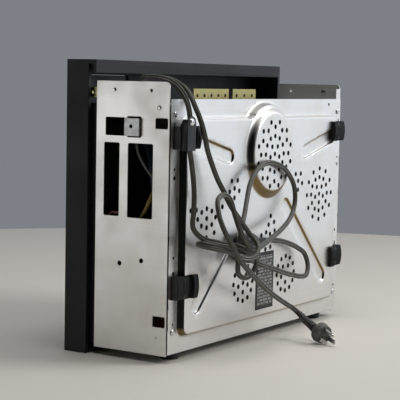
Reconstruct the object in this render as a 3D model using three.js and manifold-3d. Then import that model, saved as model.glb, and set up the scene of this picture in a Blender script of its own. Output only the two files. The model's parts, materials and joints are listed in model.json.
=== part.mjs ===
// A compact wall oven: a shallow steel chassis behind a wide black fascia, with a drop-down door,
// a knob panel beside it, and a mains lead looped over the back.
// Millimetres. +X is the control side, -Y the front, +Z up. The origin is on the resting plane,
// half way across the fascia, half way between the handle's front and the cord outlet's rear.
import * as THREE from 'three';
import { ConvexGeometry } from 'three/addons/geometries/ConvexGeometry.js';
import { mergeVertices } from 'three/addons/utils/BufferGeometryUtils.js';
import Module from 'manifold-3d';

const wasm = await Module();
wasm.setup();

// ---- Driving dimensions ----
const GAP = 0.3;                 // left between neighbouring pieces
const SHEET = 1.2;               // folded sheet metal
const THROUGH = 2;               // how far a cutting tool runs past the face it cuts

const FASCIA = { half: 221, height: 356, front: -78, skin: 6, wall: 5.5, rear: -45 };
const TOP_RAIL = { rear: -34, bottom: 340, lip: 4 };
const DOORWAY = { x: [-206, 92], z: [18, 302] };
const PANELWAY = { x: [104, 207], z: [18, 338] };
// The grille above the door: slots that stop short of the skin's inner face.
const VENT = { count: 10, first: -180, pitch: 28, width: 20, depth: 4.5, z: [313, 329] };

const CHASSIS = { half: 215, front: -37, rear: 70, bottom: 9, top: 331 };
const OVEN_PLATE_FRONT = -31;    // the oven side's plate starts further back, behind the fascia's return
const FRAME = { half: 213, bottom: 12, top: 304, rear: -37.3, thick: 7.7, rim: 3 };
const BAY = { x: [96, 207], z: [30, 290] };

const LINER = { x: [-192, 82], y: [-44, 50], z: [38, 288] };
const BLANKET = 6;               // thickness of the insulation
const DISC = { x: 0, z: 243.6, base: 62, shoulder: 60.5, face: 49, rise: 8 };
const PAN = { x: [-187, 195], z: [30, 289], rise: 9, draft: 2.5, corner: 12 };
const PANEL_Z = [11, 311];
const VENT_HOLE = 3.2;           // hole radius
// Vent holes are punched in rings about a centre: ring radius, hole count, first hole's angle in degrees.
const VENT_RINGS = [[0, 1, 0], [11.8, 5, 54], [23, 12, 0], [35, 12, 0], [42.2, 12, 15]];
const DISC_VENT = { centre: [0, 241], rings: 5 };
// The same rings on the flat of the pan; one of them is only punched below its centre's level.
const PAN_VENTS = [
  { centre: [-139.3, 181], rings: 4 },
  { centre: [147.3, 180], rings: 4, lowerHalf: true },
  { centre: [59.3, 80], rings: 3 },
  { centre: [-49.5, 80.3], rings: 3 },
  { centre: [-78.4, 201.9], rings: 2 },
  { centre: [84.5, 201], rings: 2 },
];
// Vents of the middle that follow no ring.
const MIDDLE_VENTS = [[-7, 160], [-16, 151.5], [-2, 149], [4, 139.5], [-18, 140], [-6, 136.5], [16, 136.5],
  [-7.5, 119.5], [5, 117.5]];
// Stiffening grooves pressed into the pan, each between two points of its centre line.
const GROOVE = { depth: 2.8, half: 9.7, draft: 2 };
const GROOVES = [[[176, 260.5], [96.5, 240.5]], [[-172, 259.5], [-96.5, 240.5]],
  [[-46.5, 171.5], [-152.5, 66.5]], [[98, 132.5], [166.5, 64]]];

const DOOR = { x: [-204, 90], z: [23, 298], front: -78, rear: -56 };
const HINGE = { y: -71, z: 30, pin: 3, notch: 14, notchTop: 40 };
const WINDOW = { x: [-168, 54], z: [64, 260], rebate: 6, step: -72, glass: 4 };
const HANDLE = { y: -96, z: 286, radius: 4, x: [-150, 40], posts: [-135, 25] };

const PANEL = { x: [104.5, 206.5], z: [18.5, 337.5], front: -78, rear: -74 };
const KNOB = { x: 155, z: { timer_knob: 60, function_knob: 120 }, radius: 19, front: -96 };
const BUTTON = { x: [125, 155, 185], z: 187, radius: 6, front: -80 };
const DISPLAY = { x: [115, 195], z: [250, 300] };

const SHELF_Z = 121;             // top of the ledges that the rack slides on
const BASE_PLATE_Z = [9.6, 10.5];
const TOP_PLATE_Z = [303, 304.2];

// Openings of both side plates as [Y, Z] spans, and round holes as [Y, Z, radius].
const SIDE_WINDOWS = [[[8, 29], [265, 289.5]], [[49, 66.5], [276, 288.6]], [[49, 66.5], [43, 55.8]]];
const SIDE_HOLES = [[-10.3, 320.8, 2.2], [42.3, 320.4, 2.2]];
// The control side's own windows, through which the looms are wired, and its two larger holes.
const WIRING_WINDOWS = [[[-23.4, 6], [266.5, 288]], [[-25, -2.5], [170.5, 258]], [[10, 46], [170, 258]]];
const WIRING_HOLES = [[-0.3, 114.2, 3], [31.4, 119.7, 3]];
const WINDOW_CORNER = 1.6;

const SPACER_ROWS = { top: [253, 280], bottom: [76, 104] };
const SPACER_FRONT = 11;         // how far a spacer stands behind the chassis over the flange
const CLIP = { x: [190.3, 207.5], z: [251.5, 283.4], front: 89.4, wall: 1.2 };

const HUB = { x: 69.5, z: 126.6, radius: 19, rear: 100 };
const NOZZLE = { reach: 3.5, y: [84.5, 95.5], z: [125.5, 136.5] };
const CORD_RADIUS = 3.25;

// The mains lead's route, from the outlet on the back panel to the plug. It leaves towards -X, loops
// low on the right, crosses to the control side and back, climbs over the top edge, comes down
// again, passes through the knot, makes the wide ring, climbs once more and ends at the plug.
const CORD_ROUTE = [
  [24, 90, 131], [9, 89, 131], [-7, 89, 129], [-24, 89, 126], [-43, 89, 121], [-61, 89, 115],
  [-79, 91, 105], [-82, 95, 90], [-73, 98, 78], [-52, 99, 78], [-33, 99, 82], [-15, 100, 86],
  [4, 101, 91], [22, 102, 96], [41, 103, 101], [59, 104, 106], [78, 104, 112], [96, 104, 118],
  [114, 102, 123], [132, 99, 129], [150, 95, 133], [173, 86, 139], [185, 92, 142], [189, 101, 143],
  [187, 110, 142], [173, 119, 138], [151, 122, 129], [133, 128, 122], [116, 131, 126],
  [109, 128, 137], [114, 118, 152], [123, 110, 168], [132, 103, 184], [140, 98, 201],
  [149, 94, 217], [158, 92, 234], [167, 91, 251], [174, 91, 269], [179, 88, 287], [180, 80, 304],
  [176, 69, 319], [171, 53, 329], [167, 32, 335], [174, 16, 335], [184, 11, 334], [195, 14, 334],
  [205, 26, 336], [201, 50, 335], [199, 67, 327], [197, 78, 313], [196, 83.5, 296], [196, 84.6, 276],
  [196, 84.6, 254], [192, 85, 237], [189, 86, 218], [188, 87, 199], [190, 88, 180], [192, 89, 161],
  [181, 96, 148], [164, 105, 143], [146, 111, 139], [128, 115, 135], [110, 116, 127],
  [88, 115, 115], [88, 111, 102], [93, 108, 95], [102, 106, 94], [116, 106, 101], [121, 109, 124],
  [117, 108, 143], [107, 105, 159], [95, 101, 174], [84, 97, 189], [72, 93, 204], [59, 91, 217],
  [42, 91, 227], [24, 91, 231], [5, 91, 229], [-14, 92, 223], [-30, 92, 213], [-42, 93, 198],
  [-44, 94, 180], [-35, 96, 164], [-19, 98, 153], [-1, 101, 147], [17, 105, 143], [36, 109, 140],
  [54, 113, 137], [73, 117, 134], [92, 120, 131], [111, 122, 132], [128, 123, 140],
  [137, 120, 156], [141, 115, 174], [146, 110, 194], [159, 109, 199], [172, 110, 194],
  [178, 116, 176], [174, 122, 157], [166, 127, 141], [154, 129, 126], [139, 129, 114],
  [81, 121, 83], [39, 113, 65], [-15, 105, 44], [-22, 105, 41], [-27, 109, 36], [-29, 115, 31],
  [-27, 122, 26], [-23, 132, 22], [-18, 142, 18],
];
// The plug lies on the bench with its back end held up a little by the stiff lead.
const PLUG_BACK = new THREE.Vector3(-18, 142, 18);
const PLUG_DIRECTION = new THREE.Vector3(0.41, 0.88, -0.25).normalize();
// Along its axis the body starts at the lead and ends at the face that carries the pins.
const PLUG = {
  profile: [[0, 0.4], [4.2, 0.4], [5.4, 6], [11, 8.5], [13.2, 11], [13.2, 13.5], [11.6, 15],
    [12.4, 21], [0, 21]],
  face: 20,
  blade: [1.6, 17, 6.4],
  bladeX: 6.3,
  bladeZ: -4.3,
  pinRadius: 2.4,
  pinLength: 19,
  pinZ: 6.5,
};

// The two wiring looms between the board, the transformer and the terminal block.
const POWER_LOOM = [[110, 45, 34], [118, 44, 60], [150, 40, 110], [190, 36, 175], [196, 34, 215],
  [185, 20, 250], [160, -10, 262]];
const SIGNAL_LOOM = [[174, -55, 262], [180, -34, 258], [192, -16, 245], [196, -12, 205], [185, -12, 150],
  [160, -8, 90], [150, 5, 52]];

// ---- Materials ----
function material(color, roughness, metalness) {
  return new THREE.MeshStandardMaterial({ color, roughness, metalness });
}
const blackPaint = material(0x141415, 0.45, 0.2);
const blackPlastic = material(0x17181a, 0.5, 0);
const aluminised = material(0xc9ccd0, 0.35, 0.9);
const galvanised = material(0xb4b6b4, 0.45, 0.9);
const passivated = material(0xb79a4e, 0.4, 0.8);
const enamel = material(0x2b2d31, 0.3, 0.1);
const wool = material(0xcfc9ae, 0.95, 0);
const seal = material(0x3a3a3a, 0.9, 0);
const steel = material(0xa8a9aa, 0.35, 1);
const copper = material(0xa8643a, 0.4, 0.9);
const board = material(0x2f6b3f, 0.6, 0);
const blueWire = material(0x2c5fa8, 0.6, 0);
const redWire = material(0xb03a2e, 0.6, 0);
const darkGlass = material(0x1b1e22, 0.08, 0);
const clearGlass = material(0xdde6e6, 0.05, 0);
const cordSheath = material(0x58564c, 0.7, 0);
const plugGrey = material(0x3b3c3c, 0.55, 0);

// ---- Solids ----
function solidOf(geometry) {
  const bare = geometry.index ? geometry.toNonIndexed() : geometry;
  bare.deleteAttribute('normal');
  bare.deleteAttribute('uv');
  const merged = mergeVertices(bare, 1e-4);
  return new wasm.Manifold(new wasm.Mesh({
    numProp: 3,
    vertProperties: new Float32Array(merged.attributes.position.array),
    triVerts: new Uint32Array(merged.index.array),
  }));
}

function geometryOf(solid) {
  const mesh = solid.getMesh();
  const geometry = new THREE.BufferGeometry();
  geometry.setAttribute('position', new THREE.BufferAttribute(mesh.vertProperties, 3));
  geometry.setIndex(new THREE.BufferAttribute(mesh.triVerts, 1));
  geometry.computeVertexNormals();
  return geometry;
}

function join(first, ...others) {
  return others.reduce((sum, solid) => sum.add(solid), first);
}

function cut(body, ...tools) {
  return tools.reduce((rest, tool) => rest.subtract(tool), body);
}

function box([x0, x1], [y0, y1], [z0, z1]) {
  const geometry = new THREE.BoxGeometry(x1 - x0, y1 - y0, z1 - z0);
  geometry.translate((x0 + x1) / 2, (y0 + y1) / 2, (z0 + z1) / 2);
  return solidOf(geometry);
}

// A cylinder or cone along an axis; the centre is its place on the other two axes, in X, Y, Z order.
function rod(axis, [from, to], [a, b], radius, sides = 16, endRadius = radius) {
  const geometry = new THREE.CylinderGeometry(endRadius, radius, to - from, sides);
  const middle = (from + to) / 2;
  if (axis === 'x') geometry.rotateZ(-Math.PI / 2).translate(middle, a, b);
  if (axis === 'y') geometry.translate(a, middle, b);
  if (axis === 'z') geometry.rotateX(Math.PI / 2).translate(a, b, middle);
  return solidOf(geometry);
}

// A solid of revolution about a line along Y; profile points are [radius, y].
function turned(profile, [x, z], sides = 32) {
  const points = profile.map(([radius, y]) => new THREE.Vector2(radius, y));
  return solidOf(new THREE.LatheGeometry(points, sides).translate(x, 0, z));
}

function circle(a, b, radius, sides) {
  return Array.from({ length: sides }, (_, i) => {
    const angle = (2 * Math.PI * i) / sides;
    return new THREE.Vector2(a + radius * Math.cos(angle), b + radius * Math.sin(angle));
  });
}

function roundedRectangle([a0, a1], [b0, b1], radius, steps = 3) {
  const corners = [[a1 - radius, b1 - radius], [a0 + radius, b1 - radius],
    [a0 + radius, b0 + radius], [a1 - radius, b0 + radius]];
  return corners.flatMap(([a, b], corner) => Array.from({ length: steps + 1 }, (_, i) => {
    const angle = (Math.PI / 2) * (corner + i / steps);
    return new THREE.Vector2(a + radius * Math.cos(angle), b + radius * Math.sin(angle));
  }));
}

// A quarter circle about a centre, from its first axis round to its second.
function quarterRound([a, b], radius, steps = 3) {
  return Array.from({ length: steps + 1 }, (_, i) => {
    const angle = (Math.PI / 2) * (i / steps);
    return [a + radius * Math.cos(angle), b + radius * Math.sin(angle)];
  });
}

// A slot with round ends between two points.
function slotOutline([a0, b0], [a1, b1], radius, steps = 6) {
  const heading = Math.atan2(b1 - b0, a1 - a0);
  return [[a1, b1, heading - Math.PI / 2], [a0, b0, heading + Math.PI / 2]].flatMap(([a, b, start]) => (
    Array.from({ length: steps + 1 }, (_, i) => {
      const angle = start + (Math.PI * i) / steps;
      return new THREE.Vector2(a + radius * Math.cos(angle), b + radius * Math.sin(angle));
    })
  ));
}

// An outline pulled along an axis. Outline axes are (Y, Z) for x, (X, Z) for y and (X, Y) for z.
function extruded(outline, axis, [from, to], holes = []) {
  const shape = new THREE.Shape(outline);
  shape.holes = holes.map((points) => new THREE.Path(points));
  const geometry = new THREE.ExtrudeGeometry(shape, { depth: to - from, bevelEnabled: false });
  const [X, Y, Z] = [[1, 0, 0], [0, 1, 0], [0, 0, 1]].map((v) => new THREE.Vector3(...v));
  const place = new THREE.Matrix4();
  if (axis === 'x') place.makeBasis(Y, Z, X).setPosition(from, 0, 0);
  if (axis === 'y') place.makeBasis(X, Z, Y.negate()).setPosition(0, to, 0);
  if (axis === 'z') place.setPosition(0, 0, from);
  return solidOf(geometry.applyMatrix4(place));
}

function outlineOf(points) {
  return points.map(([a, b]) => new THREE.Vector2(a, b));
}

// The convex solid between outlines in (X, Z), each at its own Y.
function lofted(sections) {
  const points = sections.flatMap(({ outline, y }) => outline.map((p) => new THREE.Vector3(p.x, y, p.y)));
  return solidOf(new ConvexGeometry(points));
}

function tube(points, radius, steps, sides = 8) {
  const extrudePath = new THREE.CatmullRomCurve3(points.map((p) => new THREE.Vector3(...p)));
  const section = new THREE.Shape(circle(0, 0, radius, sides));
  return solidOf(new THREE.ExtrudeGeometry(section, { steps, extrudePath }));
}

function mirrored(side, [from, to]) {
  return side > 0 ? [from, to] : [-to, -from];
}

function widened([from, to], by) {
  return [from - by, to + by];
}

// ---- Scene graph ----
const oven = new THREE.Group();

function piece(name, solid, finish) {
  const mesh = new THREE.Mesh(geometryOf(solid), finish);
  mesh.name = name;
  oven.add(mesh);
}

// ---- Front frame ----
function fasciaFrame() {
  const { half, height, front, skin, wall, rear } = FASCIA;
  const shell = cut(
    box([-half, half], [front, rear], [0, height]),
    box([-half + wall, half - wall], [front + skin, rear + THROUGH], [wall, height - wall]),
  );
  const roof = box([-half, half], [rear - 1, TOP_RAIL.rear], [height - wall, height]);
  const lip = box([-half, half], [TOP_RAIL.rear - TOP_RAIL.lip, TOP_RAIL.rear], [TOP_RAIL.bottom, height]);
  const sideReturn = box([-half, -half + wall], [rear - 1, TOP_RAIL.rear], [0, height]);
  const skinSpan = [front - THROUGH, front + skin + THROUGH];
  const slots = Array.from({ length: VENT.count }, (_, i) => {
    const x = VENT.first + i * VENT.pitch;
    return box([x, x + VENT.width], [front - THROUGH, front + VENT.depth], VENT.z);
  });
  return cut(
    join(shell, roof, lip, sideReturn),
    box(DOORWAY.x, skinSpan, DOORWAY.z),
    box(PANELWAY.x, skinSpan, PANELWAY.z),
    ...slots,
  );
}

function innerFrame() {
  const { half, bottom, top, rear, thick, rim } = FRAME;
  const front = FASCIA.front + FASCIA.skin + GAP;
  const tray = cut(
    box([-half, half], [front, rear], [bottom, top]),
    box([-half + rim, half - rim], [front - THROUGH, rear - thick], [bottom + rim, top - rim]),
  );
  const through = [rear - thick - THROUGH, rear + THROUGH];
  return cut(tray, box(widened(LINER.x, GAP), through, widened(LINER.z, GAP)), box(BAY.x, through, BAY.z));
}

function doorSeal() {
  const outer = roundedRectangle([-199, 89], [31, 295], 12);
  const inner = roundedRectangle([-193.5, 83.5], [36.5, 289.5], 8);
  return extruded(outer, 'y', [-55, -45 - GAP], [inner]);
}

// ---- Chassis sheets ----
// Each side plate carries a clip window and two square holes; the control side also has wiring
// windows that show the looms inside.
function sidePlate(side) {
  const rear = CHASSIS.rear - 1 - GAP;
  const { bottom, top, half } = CHASSIS;
  const front = side > 0 ? CHASSIS.front : OVEN_PLATE_FRONT;
  const corner = 6;
  const rearCorner = quarterRound([rear - corner, top - corner], corner);
  const outline = outlineOf([[front, bottom], [rear, bottom], ...rearCorner, [front, top]]);
  const windows = side > 0 ? [...SIDE_WINDOWS, ...WIRING_WINDOWS] : SIDE_WINDOWS;
  const holes = side > 0 ? [...SIDE_HOLES, ...WIRING_HOLES] : SIDE_HOLES;
  const openings = [
    ...windows.map(([y, z]) => roundedRectangle(y, z, WINDOW_CORNER, 2)),
    ...holes.map(([y, z, radius]) => circle(y, z, radius, 8)),
  ];
  return extruded(outline, 'x', mirrored(side, [half - SHEET, half]), openings);
}

function ovenSidePlate() {
  const rear = CHASSIS.rear - 1 - GAP;
  const width = 12;
  const z = [CHASSIS.bottom, CHASSIS.top - 6];
  return join(sidePlate(-1), box([-CHASSIS.half, -CHASSIS.half + width], [rear - SHEET, rear], z));
}

function deck(z) {
  const half = CHASSIS.half - SHEET - GAP;
  const rear = CHASSIS.rear - 1 - GAP - SHEET - GAP;
  return box([-half, half], [CHASSIS.front, rear], z);
}

function panOutline(offset) {
  const x = widened(PAN.x, offset);
  return roundedRectangle(x, widened(PAN.z, offset), PAN.corner);
}

// A groove as the solid to take from a face that stands at the given Y.
function grooveTool([from, to], face, offset) {
  const half = GROOVE.half - offset;
  return lofted([
    { outline: slotOutline(from, to, half - GROOVE.draft), y: face - GROOVE.depth },
    { outline: slotOutline(from, to, half), y: face },
    { outline: slotOutline(from, to, half), y: face + THROUGH },
  ]);
}

// The raised pan and disc of the back panel, grown or shrunk by an offset to make its two faces.
function panelRelief(offset) {
  const sheetRear = CHASSIS.rear + offset;
  const buried = sheetRear - 1.5;
  const panFace = sheetRear + PAN.rise;
  const pan = lofted([
    { outline: panOutline(offset), y: buried },
    { outline: panOutline(offset), y: sheetRear },
    { outline: panOutline(offset - PAN.draft), y: panFace },
  ]);
  const discFace = panFace + DISC.rise;
  const profile = [[0, buried], [DISC.base + offset, buried], [DISC.base + offset, sheetRear],
    [DISC.shoulder + offset, panFace], [DISC.face + offset, discFace], [0, discFace]];
  const grooved = cut(pan, ...GROOVES.map((ends) => grooveTool(ends, panFace, offset)));
  return join(grooved, turned(profile, [DISC.x, DISC.z], 40));
}

function ventCentres({ centre: [x, z], rings, lowerHalf = false }) {
  const all = VENT_RINGS.slice(0, rings).flatMap(([radius, count, startDegrees]) => (
    Array.from({ length: count }, (_, i) => {
      const angle = (Math.PI / 180) * (startDegrees + (360 / count) * i);
      return [x + radius * Math.cos(angle), z + radius * Math.sin(angle)];
    })
  ));
  return all.filter((hole) => !lowerHalf || hole[1] < z + 1);
}

function ventTools() {
  const panFace = CHASSIS.rear + PAN.rise;
  const discFace = panFace + DISC.rise;
  const punch = (face) => (centre) => rod('y', [face - 4, face + THROUGH], centre, VENT_HOLE, 6);
  return [
    ...ventCentres(DISC_VENT).map(punch(discFace)),
    ...PAN_VENTS.flatMap(ventCentres).map(punch(panFace)),
    ...MIDDLE_VENTS.map(punch(panFace)),
  ];
}

function backPanel() {
  const thickness = 1;
  const sheet = box([-CHASSIS.half, CHASSIS.half], [CHASSIS.rear - thickness, CHASSIS.rear], PANEL_Z);
  return cut(join(sheet, panelRelief(0)), panelRelief(-thickness), ...ventTools());
}

// ---- Oven cavity ----
function cavityLiner() {
  const { x, y, z } = LINER;
  const hollow = box(widened(x, -SHEET), [y[0] - THROUGH, y[1] - SHEET], widened(z, -SHEET));
  const fanGrille = [-24, -12, 0, 12, 24].map((dx) => (
    box([DISC.x + dx - 3, DISC.x + dx + 3], [y[1] - THROUGH, y[1] + THROUGH], [DISC.z - 24, DISC.z + 24])
  ));
  return cut(box(x, y, z), hollow, ...fanGrille);
}

function insulationBlanket() {
  const depth = [FRAME.rear + GAP, LINER.y[1] + BLANKET];
  const outer = box(widened(LINER.x, BLANKET), depth, widened(LINER.z, BLANKET));
  const inner = box(widened(LINER.x, GAP), [FRAME.rear - THROUGH, LINER.y[1] + GAP], widened(LINER.z, GAP));
  const fanWell = rod('y', [LINER.y[1] - THROUGH, LINER.y[1] + BLANKET + THROUGH], [DISC.x, DISC.z], 47, 24);
  return cut(outer, inner, fanWell);
}

function heatingElement(z) {
  const rearY = LINER.y[1] - SHEET - GAP;
  const bends = [[-120, rearY], [-120, 30], [-150, 20], [-150, -20], [-135, -28], [-120, -20], [-105, 5],
    [-75, 8], [-60, -20], [-45, -28], [-30, -20], [-15, 5], [15, 8], [30, -20], [40, -28], [50, -20],
    [50, 20], [20, 30], [20, rearY]];
  return tube(bends.map(([x, y]) => [x, y, z]), 3, 54, 6);
}

function rackRail(side) {
  const wall = side > 0 ? LINER.x[1] - SHEET - GAP : -LINER.x[0] - SHEET - GAP;
  const depth = 6;
  const across = mirrored(side, [wall - depth, wall]);
  const post = mirrored(side, [wall - 2, wall]);
  const ledges = [SHELF_Z, 191].map((z) => box(across, [-38, 46], [z - 3, z]));
  const posts = [-34, 40].map((y) => box(post, [y - 3, y + 3], [90, 220]));
  return join(...ledges, ...posts);
}

function fanHousing() {
  const front = LINER.y[1] + GAP;
  const wall = 1.5;
  return turned([[6, 62.5], [44, 62.5], [44, front], [44 + wall, front], [44 + wall, 62.5 + wall],
    [6, 62.5 + wall], [6, 62.5]], [DISC.x, DISC.z], 24);
}

function fanImpeller() {
  const hub = rod('y', [52.5, 61.5], [DISC.x, DISC.z], 9, 12);
  const shaft = rod('y', [55, 65.5], [DISC.x, DISC.z], 3, 8);
  const backDisc = rod('y', [60.3, 61.5], [DISC.x, DISC.z], 36, 24);
  const blades = Array.from({ length: 8 }, (_, i) => {
    const geometry = new THREE.BoxGeometry(28, 8.5, 1.5).translate(22, 56.9, 0);
    geometry.rotateY((Math.PI / 4) * i);
    return solidOf(geometry.translate(DISC.x, 0, DISC.z));
  });
  return join(hub, shaft, backDisc, ...blades);
}

function fanMotor() {
  const plate = rod('y', [64.3, 66.3], [DISC.x, DISC.z], 32, 16);
  const can = rod('y', [66, 84], [DISC.x, DISC.z], 25, 20);
  return cut(join(plate, can), rod('y', [60, 66], [DISC.x, DISC.z], 4.5, 12));
}

function ovenLamp() {
  const rear = LINER.y[1] - SHEET - GAP;
  return turned([[0, rear - 12], [9, rear - 10.5], [14, rear - 5], [15, rear], [0, rear]], [-150, 235], 16);
}

function rackGrid() {
  const reach = [-187.5, 77.5];
  const wire = 2.4;
  const z = [SHELF_Z + GAP, SHELF_Z + GAP + 3];
  const runners = [[-38, -35], [41, 44]].map((y) => box(reach, y, z));
  const sides = [[reach[0], reach[0] + 3], [reach[1] - 3, reach[1]]].map((x) => box(x, [-38, 44], z));
  const wires = Array.from({ length: 9 }, (_, i) => {
    const x = -160 + 26 * i;
    return box([x, x + wire], [-36, 42], [z[0] + 0.2, z[1] - 0.2]);
  });
  return join(...runners, ...sides, ...wires);
}

function bakingTray() {
  const floor = SHELF_Z + GAP + 3 + GAP;
  const outer = lofted([{ outline: roundedRectangle([-170, 60], [floor, floor + 20], 3, 1), y: -30 },
    { outline: roundedRectangle([-170, 60], [floor, floor + 20], 3, 1), y: 36 }]);
  return cut(outer, box([-168, 58], [-28, 34], [floor + 2, floor + 20 + THROUGH]));
}

// ---- Door ----
function doorFrame() {
  const { x, z, front, rear } = DOOR;
  const edge = 2;
  const chamfer = 7;
  const profile = outlineOf([[front + edge, z[0]], [rear - chamfer, z[0]], [rear, z[0] + chamfer],
    [rear, z[1]], [front + edge, z[1]], [front, z[1] - edge], [front, z[0] + edge]]);
  const { rebate, step } = WINDOW;
  const through = [front - THROUGH, rear + THROUGH];
  const glassSeat = box(widened(WINDOW.x, rebate), [step, rear + THROUGH], widened(WINDOW.z, rebate));
  const notch = (span) => box(span, through, [z[0] - THROUGH, HINGE.notchTop]);
  return cut(
    extruded(profile, 'x', x),
    box(WINDOW.x, through, WINDOW.z),
    glassSeat,
    notch([x[0] - THROUGH, x[0] + HINGE.notch]),
    notch([x[1] - HINGE.notch, x[1] + THROUGH]),
  );
}

function doorGlass() {
  const edge = WINDOW.rebate - GAP;
  const front = WINDOW.step + GAP;
  return box(widened(WINDOW.x, edge), [front, front + WINDOW.glass], widened(WINDOW.z, edge));
}

function doorHandle() {
  const bar = rod('x', HANDLE.x, [HANDLE.y, HANDLE.z], HANDLE.radius, 12);
  const postRadius = 3.2;
  const reach = [HANDLE.y, DOOR.front - GAP];
  const posts = HANDLE.posts.map((x) => rod('y', reach, [x, HANDLE.z], postRadius, 10));
  return join(bar, ...posts);
}

// Each hinge is a bracket on the inner frame whose pin carries an arm under the door's bottom corner.
function hingeBracket(wallX, pinX) {
  const seat = FRAME.rear - FRAME.thick - GAP;
  const ear = box(wallX, [HINGE.y - 5, DOOR.rear], [HINGE.z - 6, HINGE.z + 6]);
  const stalk = box(wallX, [DOOR.rear - 1, seat], [HINGE.z - 6, HINGE.z + 0.5]);
  return join(ear, stalk, rod('x', pinX, [HINGE.y, HINGE.z], HINGE.pin, 12));
}

function hingeArm(x) {
  const arm = box(x, [HINGE.y - 4.5, HINGE.y + 4.5], [HINGE.z - 4.5, HINGE.notchTop - GAP]);
  return cut(arm, rod('x', widened(x, THROUGH), [HINGE.y, HINGE.z], HINGE.pin + GAP, 12));
}

// ---- Control side ----
function controlPanel() {
  const through = [PANEL.front - THROUGH, PANEL.rear + THROUGH];
  const buttonHoles = BUTTON.x.map((x) => rod('y', through, [x, BUTTON.z], BUTTON.radius + GAP, 12));
  const shaftHoles = Object.values(KNOB.z).map((z) => rod('y', through, [KNOB.x, z], 4, 12));
  const face = box(PANEL.x, [PANEL.front, PANEL.rear], PANEL.z);
  return cut(face, box(DISPLAY.x, through, DISPLAY.z), ...buttonHoles, ...shaftHoles);
}

function knob(z) {
  const skirt = PANEL.front - GAP;
  const { x, radius, front } = KNOB;
  const dial = turned([[0, skirt - 3], [radius, skirt - 3], [radius, skirt], [0, skirt]], [x, z], 24);
  const grip = [[0, front + 1], [13, front + 1], [15, front + 3], [16, skirt - 2], [0, skirt - 2]];
  const ridge = box([x - 1.5, x + 1.5], [front, front + 4], [z, z + 12]);
  const shaft = rod('y', [skirt - 1, -62], [x, z], 3.5, 10);
  return join(dial, turned(grip, [x, z], 24), ridge, shaft);
}

function pushButton(x) {
  const cap = turned([[0, BUTTON.front], [BUTTON.radius - 1, BUTTON.front], [BUTTON.radius, BUTTON.front + 1],
    [BUTTON.radius, PANEL.rear], [0, PANEL.rear]], [x, BUTTON.z], 16);
  return join(cap, rod('y', [PANEL.rear - 1, -64], [x, BUTTON.z], 2.5, 8));
}

function controlBoard() {
  const sheet = box([108, 204], [-61, -59.4], [150, 298]);
  const relayPlaces = [[120, 265], [150, 265], [180, 230]];
  const relays = relayPlaces.map(([x, z]) => box([x, x + 16], [-60, -47], [z, z + 12]));
  return join(sheet, ...relays);
}

function transformer() {
  const core = box([125, 165], [-12, 22], [BASE_PLATE_Z[1] + GAP, 48]);
  const coil = box([131, 159], [-17, 27], [16, 42]);
  return join(core, coil);
}

function terminalBlock() {
  const base = box([98, 122], [30, 60], [BASE_PLATE_Z[1] + GAP, 24]);
  const posts = [35, 45, 55].map((y) => box([101, 119], [y - 3, y + 3], [22, 32]));
  return join(base, ...posts);
}

// ---- Fixings ----
function sideClip(side) {
  const outer = CHASSIS.half + 4;
  const y = [7, 28];
  const z = [266.6, 287.5];
  const face = box(mirrored(side, [outer - SHEET, outer]), y, z);
  const legSpans = [[y[0], y[0] + SHEET], [y[1] - SHEET, y[1]]];
  const legs = legSpans.map((span) => box(mirrored(side, [CHASSIS.half + GAP, outer]), span, z));
  return cut(join(face, ...legs), rod('x', mirrored(side, [outer - 3, outer + 1]), [16.5, 278], 2.5, 8));
}

function topBracket([x0, x1], holeCount) {
  const base = TOP_PLATE_Z[1] + GAP;
  const foot = box([x0, x1], [29.5, 42], [base, base + SHEET]);
  const web = box([x0, x1], [29.5, 29.5 + SHEET], [base, 323]);
  const holes = Array.from({ length: holeCount }, (_, i) => (
    rod('y', [29, 31], [x0 + ((i + 0.5) * (x1 - x0)) / holeCount, 314.5], 2.5, 8)
  ));
  return cut(join(foot, web), ...holes);
}

function fixingEar() {
  const tab = box([211.5, 213.5], [-49, -36], [311, 323]);
  return cut(tab, rod('x', [210, 215], [-43.5, 317], 2, 8));
}

// A spacer block keeps the panel off the wall: thin over the flange, thicker over the pan's edge.
function spacer(side, z) {
  const { rear } = CHASSIS;
  const front = rear + SPACER_FRONT;
  const panTop = rear + PAN.rise + GAP;
  const overFlange = box(mirrored(side, [196, 209]), [rear + GAP, front], z);
  const overPan = box(mirrored(side, [180, 197]), [panTop, front], z);
  const block = box(mirrored(side, [171, 181]), [panTop, rear + 15.5], z);
  return join(overFlange, overPan, block);
}

function rearFoot(side) {
  return rod('z', [0, BASE_PLATE_Z[0] - GAP], [side * 180, 50], 11, 16, 12);
}

// A hood with a round top, screwed over the upper spacer, that holds the lead against the panel.
function cordClip() {
  const { x, z, front, wall } = CLIP;
  const seat = CHASSIS.rear + SPACER_FRONT + GAP;
  const middle = (x[0] + x[1]) / 2;
  const radius = (x[1] - x[0]) / 2;
  const crown = circle(middle, z[1], radius, 24).filter((point) => point.y > z[1]);
  const sides = outlineOf([[x[0], z[1]], [x[0], z[0]], [x[1], z[0]], [x[1], z[1]]]);
  const through = [z[0] - THROUGH, z[1] + radius + THROUGH];
  const channel = box(widened(x, -wall), [seat - THROUGH, front - wall], through);
  return cut(extruded([...sides, ...crown], 'y', [seat, front]), channel);
}

// The outlet boss, with a square nozzle at the side that the lead leaves by.
function cordHub() {
  const seat = CHASSIS.rear + PAN.rise + GAP;
  const { x, z, radius, rear } = HUB;
  const profile = [[0, seat], [radius, seat], [radius, rear - 5], [radius - 2, rear - 1.5],
    [radius - 6, rear], [0, rear]];
  const nozzle = box([x - radius - NOZZLE.reach, x - radius + 6], NOZZLE.y, NOZZLE.z);
  return join(turned(profile, [x, z], 28), nozzle);
}

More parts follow.
